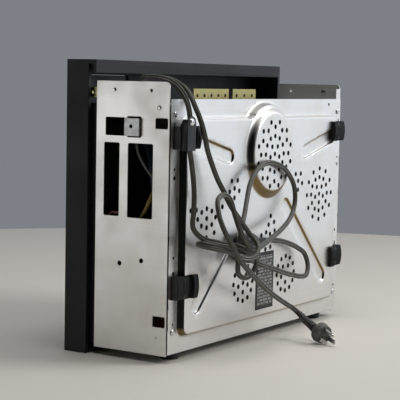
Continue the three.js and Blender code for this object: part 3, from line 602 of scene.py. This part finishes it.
def enamel():
    """Dark vitreous enamel with pale specks."""
    s = Shader("enamel", (0.03, 0.033, 0.04), 0.16)
    specks = s.ramp(s.cells(420), [(0.06, 1.0), (0.16, 0.0)])
    s.colour(s.mix(specks, (0.026, 0.03, 0.038), (0.3, 0.32, 0.34)))
    s.patchy(30, 3, [(0.3, 0.1), (0.8, 0.28)])
    s.grain(160, 2, 0.08, 0.0005)
    return s.material


def glass_wool():
    """Loose yellow-brown fibres."""
    s = Shader("glass_wool", (0.1, 0.095, 0.075), 0.95)
    fibres = s.noise(1.0, 6, s.stretched((500, 90, 90)), 0.7)
    s.colour(s.mix(fibres, (0.05, 0.045, 0.033), (0.17, 0.16, 0.13)))
    s.rough(s.ramp(fibres, [(0.2, 0.85), (0.8, 1.0)]))
    s.bump(fibres, 0.6, 0.002)
    return s.material


def tinted_glass(name, tint, transmission):
    """Clear or tinted glass with faint smears."""
    s = Shader(name, tint, 0.04)
    s.set("Transmission Weight", transmission)
    s.set("IOR", 1.5)
    s.patchy(25, 5, [(0.4, 0.02), (0.8, 0.1)])
    return s.material


def copper_winding():
    """Enamelled copper wire, wound in fine turns."""
    s = Shader("copper_winding", (0.5, 0.24, 0.12), 0.35, 0.9)
    turns = s.noise(1.0, 2, s.stretched((20, 20, 1500)))
    s.colour(s.mix(turns, (0.3, 0.12, 0.05), (0.66, 0.34, 0.18)))
    s.rough(s.ramp(turns, [(0.3, 0.25), (0.7, 0.5)]))
    s.bump(turns, 0.4, 0.0006)
    return s.material


def circuit_board():
    """Dark green board with a network of paler tracks."""
    s = Shader("circuit_board", (0.012, 0.03, 0.018), 0.5)
    tracks = s.ramp(s.cells(260, "DISTANCE_TO_EDGE"), [(0.04, 1.0), (0.07, 0.0)])
    s.colour(s.mix(tracks, (0.01, 0.024, 0.014), (0.03, 0.07, 0.035)))
    s.patchy(300, 2, [(0.3, 0.28), (0.7, 0.5)])
    s.bump(tracks, 0.3, 0.0003)
    return s.material


def coloured_wire(name, base):
    """Insulated wire, darker in fine lines along it."""
    s = Shader(name, base, 0.42)
    darker = tuple(part * 0.55 for part in base)
    strands = s.noise(1.0, 2, s.stretched((700, 700, 60)))
    s.colour(s.mix(strands, darker, base))
    s.rough(s.ramp(strands, [(0.3, 0.35), (0.7, 0.55)]))
    s.bump(strands, 0.5, 0.001)
    return s.material


def label_print():
    """A blank rating label: dark foil with rows of pale flecks that stand for its print."""
    s = Shader("label_print", (0.12, 0.12, 0.12), 0.4)
    height = s.node("SeparateXYZ", Vector=s.place).outputs["Z"]
    rows = s.math("PINGPONG", s.math("MULTIPLY", height, 240.0), 0.5)
    words = s.noise(1.0, 2, s.stretched((420, 1, 160)))
    in_row = s.ramp(rows, [(0.12, 0.0), (0.22, 1.0)])
    in_word = s.ramp(words, [(0.42, 0.0), (0.5, 1.0)])
    s.colour(s.mix(s.math("MULTIPLY", in_row, in_word), (0.018, 0.018, 0.018), (0.3, 0.3, 0.29)))
    s.patchy(90, 3, [(0.3, 0.3), (0.7, 0.5)])
    s.grain(200, 3, 0.1, 0.0004)
    return s.material


def white_print():
    """Slightly uneven white ink."""
    s = Shader("white_print", (0.7, 0.7, 0.68), 0.5)
    s.colour(s.mix(s.noise(400, 3), (0.6, 0.6, 0.58), (0.78, 0.78, 0.76)))
    s.patchy(200, 2, [(0.3, 0.4), (0.7, 0.6)])
    s.grain(1500, 2, 0.1, 0.0001)
    return s.material


# ---- Back panel ----
PANEL_REAR = 0.070  # the flange's rear face
PANEL_X = 0.2138
PANEL_Z = (0.011, 0.311)
SHEET = 0.0004
SHEET_CREASE = 60  # degrees: keeps the rims of the holes hard and the folds soft
PAN_X = (-0.187, 0.195)
PAN_Z = (0.030, 0.289)
PAN_CORNER = 0.012
PAN_RISE = 0.009
PAN_WALL = 0.0026  # width of the pan's sloping edge
DISC = Vector((0.0, 0.2436))
DISC_FACE, DISC_FOOT = 0.0485, 0.0605  # radii of the disc's flat face and of the foot of its slope
DISC_RISE = 0.008
SKIRT_RADIUS, SKIRT_WALL = 0.0600, 0.0035  # where the disc reaches past the pan, it carries the pan's height
RIB_DEPTH = 0.0028
RIB_HALF = 0.0098
RIB_WALL = 0.0024
RIBS = [((0.176, 0.2605), (0.0965, 0.2405)), ((-0.172, 0.2595), (-0.0965, 0.2405)),
        ((-0.0465, 0.1715), (-0.1525, 0.0665)), ((0.098, 0.1325), (0.1665, 0.064))]
HOLE_RADIUS = 0.0032
# Vent holes lie on rings about a centre: ring radius in mm, hole count, first hole's angle in degrees.
VENT_RINGS = [(0, 1, 0), (11.8, 5, 54), (23, 12, 0), (35, 12, 0), (42.2, 12, 15)]
# Centre (x, z) in mm, how many of the rings, and whether only the lower half is punched.
VENTS = [((0, 241), 5, False), ((-139.3, 181), 4, False), ((147.3, 180), 4, True), ((59.3, 80), 3, False),
         ((-49.5, 80.3), 3, False), ((-78.4, 201.9), 2, False), ((84.5, 201), 2, False)]
MIDDLE_VENTS = [(-7, 160), (-16, 151.5), (-2, 149), (4, 139.5), (-18, 140), (-6, 136.5), (16, 136.5),
                (-7.5, 119.5), (5, 117.5)]
# Small holes of the flange: distance from the middle in mm, z in mm, radius in mm.
FLANGE_HOLES = [(206, 281.6, 1.7), (205, 229, 1.9), (205, 219, 2.6), (204, 125, 1.9), (204, 106.5, 2.5),
                (204, 46, 1.7), (176, 303.5, 2.2)]
FAR_HOLE_SHIFT = 2.5  # the oven side's holes lie this much nearer their edge, in mm
# Triangle edges follow the folds: distances in from the pan's edge, radii round the disc, and distances
# out from a rib's edge.
PAN_FOLDS = (-0.0003, 0.0003, 0.0008, 0.0013, 0.0018, 0.0023, 0.0029)
DISC_FOLDS = (0.0637, 0.0629, 0.0618, 0.0608, 0.0599, 0.0578, 0.0555, 0.053, 0.0512, 0.0497, 0.0484)
RIB_FOLDS = (0.0002, -0.0005, -0.0012, -0.0019, -0.0026)
FOLD_STEP = 0.004
GRID_PITCH = 0.0055
# The least distances of fold points and of grid points from holes, from the sheet's edge, and from others.
FOLD_TO_HOLE, FOLD_TO_EDGE = 0.0006, 0.001
GRID_TO_HOLE, GRID_TO_EDGE, GRID_TO_OTHERS = 0.0013, 0.002, 0.0024


def ease(t):
    """Smooth step from 0 to 1."""
    t = min(max(t, 0.0), 1.0)
    return t * t * (3 - 2 * t)


def inside_distance(p, x_range, z_range, corner):
    """How far a point lies inside a rounded rectangle; negative outside."""
    dx, dz = (abs(value - (low + high) / 2) - ((high - low) / 2 - corner)
              for value, (low, high) in ((p.x, x_range), (p.y, z_range)))
    outside = math.hypot(max(dx, 0), max(dz, 0))
    return corner - outside - min(max(dx, dz), 0)


def segment_distance(p, a, b):
    """How far a point is from the line between a and b."""
    a, b = Vector(a), Vector(b)
    t = min(max((p - a).dot(b - a) / (b - a).length_squared, 0), 1)
    return (p - a.lerp(b, t)).length


def panel_height(p):
    """How far the pressed sheet stands behind its flange, at (x, z)."""
    pan = PAN_RISE * ease(inside_distance(p, PAN_X, PAN_Z, PAN_CORNER) / PAN_WALL)
    radius = (p - DISC).length
    disc = PAN_RISE * (1 - ease((radius - SKIRT_RADIUS) / SKIRT_WALL))
    disc += DISC_RISE * (1 - ease((radius - DISC_FACE) / (DISC_FOOT - DISC_FACE)))
    height = max(pan, disc)
    for a, b in RIBS:
        height -= RIB_DEPTH * (1 - ease((segment_distance(p, a, b) - (RIB_HALF - RIB_WALL)) / RIB_WALL))
    return height


def ring_points(centre, radius, count):
    """Points evenly round a circle."""
    angles = [2 * math.pi * i / count for i in range(count)]
    return [Vector(centre) + Vector((math.cos(a), math.sin(a))) * radius for a in angles]


def filled_in(loop, step):
    """The loop with points added along its sides, about a step apart."""
    filled = []
    for a, b in zip(loop, loop[1:] + loop[:1]):
        pieces = max(1, round((b - a).length / step))
        filled += [a.lerp(b, i / pieces) for i in range(pieces)]
    return filled


def rectangle_points(x_range, z_range, corner, step):
    """Points round a rounded rectangle, step apart along the sides."""
    low, high = z_range
    left, right = x_range
    centres = [(right - corner, high - corner), (left + corner, high - corner),
               (left + corner, low + corner), (right - corner, low + corner)]
    loop = []
    for i, (x, z) in enumerate(centres):
        for k in range(6):
            angle = math.pi / 2 * (i + k / 5)
            loop.append(Vector((x + corner * math.cos(angle), z + corner * math.sin(angle))))
    return filled_in(loop, step)


def capsule_points(a, b, radius, step):
    """Points round a slot with round ends at a and b."""
    a, b = Vector(a), Vector(b)
    along = (b - a).normalized()
    start = math.atan2(along.y, along.x)
    loop = []
    for centre, turn in ((b, -math.pi / 2), (a, math.pi / 2)):
        for k in range(9):
            angle = start + turn + math.pi * k / 8
            loop.append(centre + radius * Vector((math.cos(angle), math.sin(angle))))
    return filled_in(loop, step)


def vent_centres():
    """The middle of every vent hole."""
    found = [Vector(c) * MM for c in MIDDLE_VENTS]
    for (x, z), rings, lower_half in VENTS:
        for radius, count, first in VENT_RINGS[:rings]:
            for i in range(count):
                angle = math.radians(first + 360 / count * i)
                hole = Vector((x + math.cos(angle) * radius, z + math.sin(angle) * radius))
                if not lower_half or hole.y < z + 1:
                    found.append(hole * MM)
    return found


def flange_holes():
    """Centre and radius of each small hole down both flanges."""
    return [(Vector((x, z)) * MM, radius * MM)
            for distance, z, radius in FLANGE_HOLES for x in (distance, -distance - FAR_HOLE_SHIFT)]


def panel_outlines():
    """Loops of points along every fold, and every hole's centre and radius."""
    folds = [rectangle_points((PAN_X[0] + d, PAN_X[1] - d), (PAN_Z[0] + d, PAN_Z[1] - d),
                              PAN_CORNER - d, FOLD_STEP) for d in PAN_FOLDS]
    folds += [ring_points(DISC, radius, 96) for radius in DISC_FOLDS]
    folds += [capsule_points(a, b, RIB_HALF + d, FOLD_STEP) for a, b in RIBS for d in RIB_FOLDS]
    holes = [(centre, HOLE_RADIUS) for centre in vent_centres()] + flange_holes()
    return folds, holes


def tree_of(points):
    """A tree that finds the nearest point."""
    tree = KDTree(len(points))
    for i, p in enumerate(points):
        tree.insert((p.x, p.y, 0), i)
    tree.balance()
    return tree


def grid_points():
    """A staggered grid over the whole sheet."""
    rows = int((PANEL_Z[1] - PANEL_Z[0]) / GRID_PITCH)
    columns = int(2 * PANEL_X / GRID_PITCH)
    return [Vector((-PANEL_X + GRID_PITCH * (i + 0.5 + 0.5 * (k % 2)), PANEL_Z[0] + GRID_PITCH * (k + 0.5)))
            for k in range(rows) for i in range(columns)]


def back_panel_mesh():
    """The pressed sheet with all its vents, triangulated round every hole and along every fold."""
    folds, holes = panel_outlines()
    edge_loops = [rectangle_points((-PANEL_X, PANEL_X), PANEL_Z, 0.0015, 0.006)]
    edge_loops += [ring_points(centre, radius, 16) for centre, radius in holes]
    verts, edges = [], []
    for loop in edge_loops:
        first = len(verts)
        verts += loop
        edges += [(first + i, first + (i + 1) % len(loop)) for i in range(len(loop))]
    hole_tree = tree_of([centre for centre, _ in holes])

    def gap_to_hole(p):
        _, index, distance = hole_tree.find((p.x, p.y, 0))
        return distance - holes[index][1]

    def well_inside(p, margin):
        return abs(p.x) < PANEL_X - margin and PANEL_Z[0] + margin < p.y < PANEL_Z[1] - margin
    inner = [p for loop in folds for p in loop
             if gap_to_hole(p) > FOLD_TO_HOLE and well_inside(p, FOLD_TO_EDGE)]
    near = tree_of(inner + verts)
    inner += [p for p in grid_points()
              if gap_to_hole(p) > GRID_TO_HOLE and well_inside(p, GRID_TO_EDGE)
              and near.find((p.x, p.y, 0))[2] > GRID_TO_OTHERS]
    points, _, faces = delaunay_2d_cdt(verts + inner, edges, [], 0, 1e-7)[:3]
    middles = [sum((points[i] for i in face), Vector((0, 0))) / len(face) for face in faces]
    kept = [face[::-1] for face, middle in zip(faces, middles) if gap_to_hole(middle) > -0.0001]
    mesh = bpy.data.meshes.new("back_sheet")
    mesh.from_pydata([(p.x, PANEL_REAR + panel_height(p), p.y) for p in points], [], kept)
    return mesh


def add_back_panel(material):
    mesh = back_panel_mesh()
    panel = add_piece("back_sheet", mesh, material, slot="aluminised")
    mesh.set_sharp_from_angle(angle=math.radians(SHEET_CREASE))
    thickness = panel.modifiers.new("sheet", "SOLIDIFY")
    thickness.thickness = SHEET
    thickness.offset = -1
    panel.modifiers.new("hole_edges", "EDGE_SPLIT").split_angle = math.radians(SHEET_CREASE)
    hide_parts("back_panel")


# ---- Fixings and trim ----
REARWARD, SIDEWAYS, UPWARD = (0, 1, 0), (1, 0, 0), (0, 0, 1)
# Distance from the middle and height of the flange's screws, of which each side has both.
FLANGE_SCREWS = [(0.205, 0.2935), (0.204, 0.0367)]
# The other steel fixings: name, place, the way the head faces, its radius and its height.
FIXINGS = [
    ("clip_screw", (0.2000, 0.0894, 0.2850), REARWARD, 0.0046, 0.0024),
    ("side_screw_1", (0.2150, 0.0541, 0.3006), SIDEWAYS, 0.0030, 0.0011),
    ("side_screw_2", (0.2150, 0.0541, 0.0300), SIDEWAYS, 0.0019, 0.0008),
    ("plate_rivet", (-0.2137, 0.0423, 0.3204), SIDEWAYS, 0.0036, 0.0016),
]
BRACKET_SCREWS = [(0.033, 0.0380, 0.3058), (0.099, 0.0380, 0.3058)]
# A spacer's steps from the outside in: nearest and furthest from the middle, front face and rear face.
SPACER_STEPS = [(0.1960, 0.2090, 0.0703, 0.0810), (0.1800, 0.1965, 0.0793, 0.0810),
                (0.1710, 0.1812, 0.0793, 0.0855)]
SPACER_BOW = 0.0022  # how much further back a spacer's middle stands than its ends
FIN_PITCH, FIN_THICKNESS, FIN_STAND = 0.0032, 0.001, 0.0006  # a spacer's fine upright fins
LABEL_X, LABEL_Z = (-0.0165, 0.0275), (0.0405, 0.1145)
PLATE_Y, FIELD_Y = (0.07905, 0.07945), (0.07942, 0.07958)  # the label's plate and the printed field on it
LABEL_BORDER = (0.0035, 0.0045)  # the plain border's width, across and up
# Loose leads just behind the wiring windows: name, colour, radius and route in mm.
INNER_LEADS = [
    ("grey_lead", (0.2, 0.2, 0.19), 1.5,
     [(203, 13, 259), (204, 17, 246), (204, 26, 232), (203, 34, 222), (199, 42, 214)]),
    ("pink_lead", (0.5, 0.2, 0.14), 1.4,
     [(204, -27, 168), (204, -20, 173), (204, -12, 173), (203, -3, 177)]),
    ("yellow_lead", (0.3, 0.22, 0.04), 2.4,
     [(201, 20, 168), (202, 27, 178), (202, 33, 190), (197, 36, 202)]),
]
DIAL_SWEEP = 300  # degrees from the first tick to the last
TICK_RADIUS = 0.0225  # from the knob's axis to the middle of a tick
TICK_LENGTHS = (0.0026, 0.0018)  # of the ticks, by turns
TICK_HALF = 0.0004  # half of a tick's width


def screw_mesh(radius, dome):
    """A pan head on the plane z = 0, with a slightly raised cross for its recess."""
    def build(bm):
        profile = [(0, 0), (radius, 0), (radius, dome * 0.25), (radius * 0.93, dome * 0.6),
                   (radius * 0.7, dome * 0.9), (radius * 0.35, dome), (0, dome)]
        add_turned(bm, profile, Matrix.Identity(4), 32)
        slot = radius * 0.13
        for wide, deep in ((radius * 0.55, slot), (slot, radius * 0.55)):
            add_box(bm, (-wide, -deep, dome * 0.5), (wide, deep, dome * 1.04))
    return build


def add_screw(name, place, direction, radius, height, material, slot="steel"):
    mesh = mesh_of(name, screw_mesh(radius, height))
    mesh.transform(facing(place, direction))
    add_piece(name, mesh, material, slot=slot)


def add_screws(steel, yellow):
    """Screws and one rivet, each standing on the surface that it holds."""
    places = [(side * x, PANEL_REAR + 0.0002, z) for side in (1, -1) for x, z in FLANGE_SCREWS]
    for i, place in enumerate(places):
        add_screw(f"flange_screw_{i + 1}", place, REARWARD, 0.0038, 0.0018, steel)
    for fixing in FIXINGS:
        add_screw(*fixing, steel)
    for i, place in enumerate(BRACKET_SCREWS):
        add_screw(f"bracket_screw_{i + 1}", place, UPWARD, 0.0036, 0.0016, yellow, "passivated")


def spacer_mesh(side, low, high):
    """Steps across the panel's edge, from one height to another; each back is bowed and has fins."""
    def build(bm):
        for x0, x1, front, rear in SPACER_STEPS:
            outline = [(front, low), (front, high)]
            for k in range(9):
                t = 1 - k / 4
                outline.append((rear - SPACER_BOW * t * t, (low + high) / 2 + t * (high - low) / 2))
            ends = sorted((side * x0, side * x1))
            add_extruded(bm, [(ends[0], y, z) for y, z in outline], (ends[1] - ends[0], 0, 0))
            fins = int((x1 - x0) / FIN_PITCH)
            for i in range(fins):
                x = side * (x0 + (x1 - x0) * (i + 0.5) / fins) - FIN_THICKNESS / 2
                strip = [(x, y + (FIN_STAND if y > front + 0.001 else 0), z) for y, z in outline]
                add_extruded(bm, strip, (FIN_THICKNESS, 0, 0))
    return build


def add_spacers(plastic):
    for row in ("top", "bottom"):
        for hand, side in (("left", 1), ("right", -1)):
            name = f"spacer_{row}_{hand}"
            (_, _, low), (_, _, high) = corners(name)
            piece = build_piece(name + "_ribbed", spacer_mesh(side, low, high), plastic,
                                slot="black_plastic", bevel=0.0003)
            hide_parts(name)


def label_layer(y_range, across, up):
    """A thin plate the size of the label, less a border."""
    low = (LABEL_X[0] + across, y_range[0], LABEL_Z[0] + up)
    high = (LABEL_X[1] - across, y_range[1], LABEL_Z[1] - up)
    return lambda bm: add_box(bm, low, high)


def add_rating_label(ink, face):
    """A thin black plate with an inset printed field; it says nothing."""
    build_piece("rating_label_border", label_layer(PLATE_Y, 0, 0), ink, slot="black_plastic", bevel=0.0001)
    build_piece("rating_label_field", label_layer(FIELD_Y, *LABEL_BORDER), face, slot="black_plastic")


def add_inner_leads():
    for name, colour, radius, route in INNER_LEADS:
        path = smooth_path([Vector(p) * MM for p in route], 0.002)

        def tube(bm, path=path, radius=radius):
            sweep(bm, path, lambda *_: radius * MM)
        build_piece(name, tube, coloured_wire(name + "_sheath", colour), slot="cord_sheath")


def add_dial_marks(white):
    """Ticks on the control panel round both knobs, and a pointer on each knob."""
    panel_face = corners("control_panel")[0][1]
    for name, count in (("timer", 12), ("function", 10)):
        low, high = corners(name + "_knob")
        x, z = (low[0] + high[0]) / 2, (low[2] + high[2]) / 2

        def ticks(bm, x=x, z=z, count=count):
            for i in range(count):
                angle = math.radians(DIAL_SWEEP) * (i / (count - 1) - 0.5)
                turn = Matrix.Translation((x, panel_face, z)) @ Matrix.Rotation(angle, 4, "Y")
                half = TICK_LENGTHS[i % 2] / 2
                tick = add_box(bm, (-TICK_HALF, -0.0001, TICK_RADIUS - half),
                               (TICK_HALF, 0.0001, TICK_RADIUS + half))
                bmesh.ops.transform(bm, matrix=turn, verts=tick)

        def pointer(bm, x=x, z=z, front=low[1]):
            add_box(bm, (x - 0.0005, front - 0.00015, z + 0.002), (x + 0.0005, front + 0.0001, z + 0.0115))
        how = {"slot": "black_plastic", "smooth": False}
        build_piece(name + "_ticks", ticks, white, **how)
        build_piece(name + "_pointer", pointer, white, body=name + "_dial", **how)


# ---- Stage ----
# The room's walls: the way towards each, the cosines of the angles at which it fades out and is full,
# and its colour.
WALLS = [((-0.84, 0.54, 0.0), 0.55, 0.92, (0.86, 0.92, 1.0)),
         ((-0.84, -0.54, 0.0), 0.0, 0.6, (0.19, 0.205, 0.225))]
ROOM_GREY = (0.015, 0.015, 0.017)
# Soft lights: name, place, the point they face, size in m and power in W.
SOFTBOXES = [("key", (-1.0, 1.5, 1.5), (0, 0, 0.15), 1.0, 26),
             ("side", (1.93, -1.25, 0.0), (0.2, 0, 0.15), 1.3, 6.5),
             ("top", (0.2, 0.2, 2.2), (0, 0.05, 0.1), 1.2, 20)]
FLOOR_RADIUS = 1.25


def add_world():
    """A dim room with a bright wall off the oven side's rear corner and a grey one off its front corner."""
    world = bpy.data.worlds.new("studio")
    world.use_nodes = True
    tree = world.node_tree
    direction = tree.nodes.new("ShaderNodeTexCoord").outputs["Generated"]
    walls = []
    for aim, start, end, colour in WALLS:
        toward = tree.nodes.new("ShaderNodeVectorMath")
        toward.operation = "DOT_PRODUCT"
        toward.inputs[1].default_value = aim
        tree.links.new(direction, toward.inputs[0])
        ramp = tree.nodes.new("ShaderNodeValToRGB")
        ramp.color_ramp.interpolation = "EASE"
        stops = ((start, ROOM_GREY), (end, colour))
        for element, (position, shade) in zip(ramp.color_ramp.elements, stops):
            element.position = position
            element.color = (*shade, 1)
        tree.links.new(toward.outputs["Value"], ramp.inputs["Fac"])
        walls.append(ramp.outputs["Color"])
    both = tree.nodes.new("ShaderNodeVectorMath")
    both.operation = "ADD"
    tree.links.new(walls[0], both.inputs[0])
    tree.links.new(walls[1], both.inputs[1])
    tree.links.new(both.outputs["Vector"], tree.nodes["Background"].inputs["Color"])
    bpy.context.scene.world = world


def add_softbox(name, place, target, size, power):
    data = bpy.data.lights.new(name, "AREA")
    data.size = size
    data.energy = power
    light = bpy.data.objects.new(name, data)
    light.location = place
    light.rotation_euler = (Vector(target) - Vector(place)).to_track_quat("-Z", "Y").to_euler()
    bpy.context.scene.collection.objects.link(light)


def add_stage():
    """A round pale table top under the soft lights."""
    def top(bm):
        bmesh.ops.create_circle(bm, cap_ends=True, segments=128, radius=FLOOR_RADIUS)
    floor = bpy.data.objects.new("floor", mesh_of("floor", top))
    s = Shader("pale_floor", (0.7, 0.66, 0.6), 0.6)
    s.colour(s.mix(s.noise(3, 4), (0.68, 0.64, 0.58), (0.72, 0.68, 0.62)))
    floor.data.materials.append(s.material)
    bpy.context.scene.collection.objects.link(floor)
    add_world()
    for softbox in SOFTBOXES:
        add_softbox(*softbox)
    bpy.context.scene.view_settings.view_transform = "Standard"


# ---- Assembly ----
def add_parts():
    """A skin for every CAD node that keeps its shape, then the pieces that are modelled here."""
    zinc = galvanised_sheet()
    yellow = passivated_zinc()
    paint = black_paint()
    plastic = black_plastic()
    rubber = moulded_rubber()
    steel = bright_steel()
    smoked = tinted_glass("smoked_glass", (0.12, 0.13, 0.14), 0.85)
    clear = tinted_glass("clear_glass", (0.9, 0.92, 0.92), 0.95)
    # Material, edge radius in m, crease angle in degrees, smooth shading, nodes.
    groups = [
        (paint, 0.0008, 35, False, ["fascia_frame", "inner_frame", "door_frame"]),
        (aluminised_sheet(), 0.00025, 50, False, ["side_plate_control"]),
        (aluminised_sheet("dull_sheet", metallic=0.5), 0.00025, 50, False, ["side_plate_oven"]),
        (zinc, 0.0002, 35, False, ["base_plate", "top_plate", "hinge_bracket_left",
                                   "hinge_bracket_right", "side_clip_control", "side_clip_oven"]),
        (zinc, 0.0003, 35, True, ["fan_housing"]),
        (yellow, 0.0003, 50, False, ["top_bracket_long", "top_bracket_short", "fixing_ear"]),
        (plastic, 0.0005, 35, False, ["control_panel", "terminal_block"]),
        (plastic, 0.0005, 35, True, ["timer_knob", "function_knob", "button_1", "button_2", "button_3",
                                     "rear_foot_left", "rear_foot_right", "cord_clip", "cord_hub"]),
        (steel, 0, 65, True, ["upper_element", "lower_element", "thermostat_bulb", "door_handle"]),
        (steel, 0.0003, 35, False, ["rack_rail_left", "rack_rail_right", "fan_impeller", "rack",
                                    "hinge_arm_left", "hinge_arm_right"]),
        (enamel(), 0.0006, 35, False, ["cavity_liner", "tray"]),
        (rubber, 0.0006, 35, False, ["door_seal"]),
        (copper_winding(), 0.0005, 35, False, ["transformer"]),
        (paint, 0.0005, 35, True, ["fan_motor"]),
        (smoked, 0.0004, 35, False, ["door_glass", "display_window"]),
        (clear, 0, 35, True, ["lamp_glass"]),
        (glass_wool(), 0.001, 35, False, ["insulation_blanket"]),
        (circuit_board(), 0.0002, 35, False, ["control_board"]),
        (coloured_wire("blue_wire", (0.012, 0.02, 0.045)), 0, 65, True, ["wire_loom_power"]),
        (coloured_wire("red_wire", (0.09, 0.02, 0.014)), 0, 65, True, ["wire_loom_signal"]),
    ]
    for material, width, angle, smooth, nodes in groups:
        for node in nodes:
            refine(node, material, width, angle, smooth)
    add_back_panel(aluminised_sheet("pressed_sheet", pressed=True))
    add_spacers(plastic)
    add_screws(steel, yellow)
    add_rating_label(plastic, label_print())
    add_inner_leads()
    add_dial_marks(white_print())
    add_exit_relief(rubber)
    add_cord(cord_sheath(), rubber, steel)


def main():
    add_camera()
    add_parts()
    add_stage()


main()
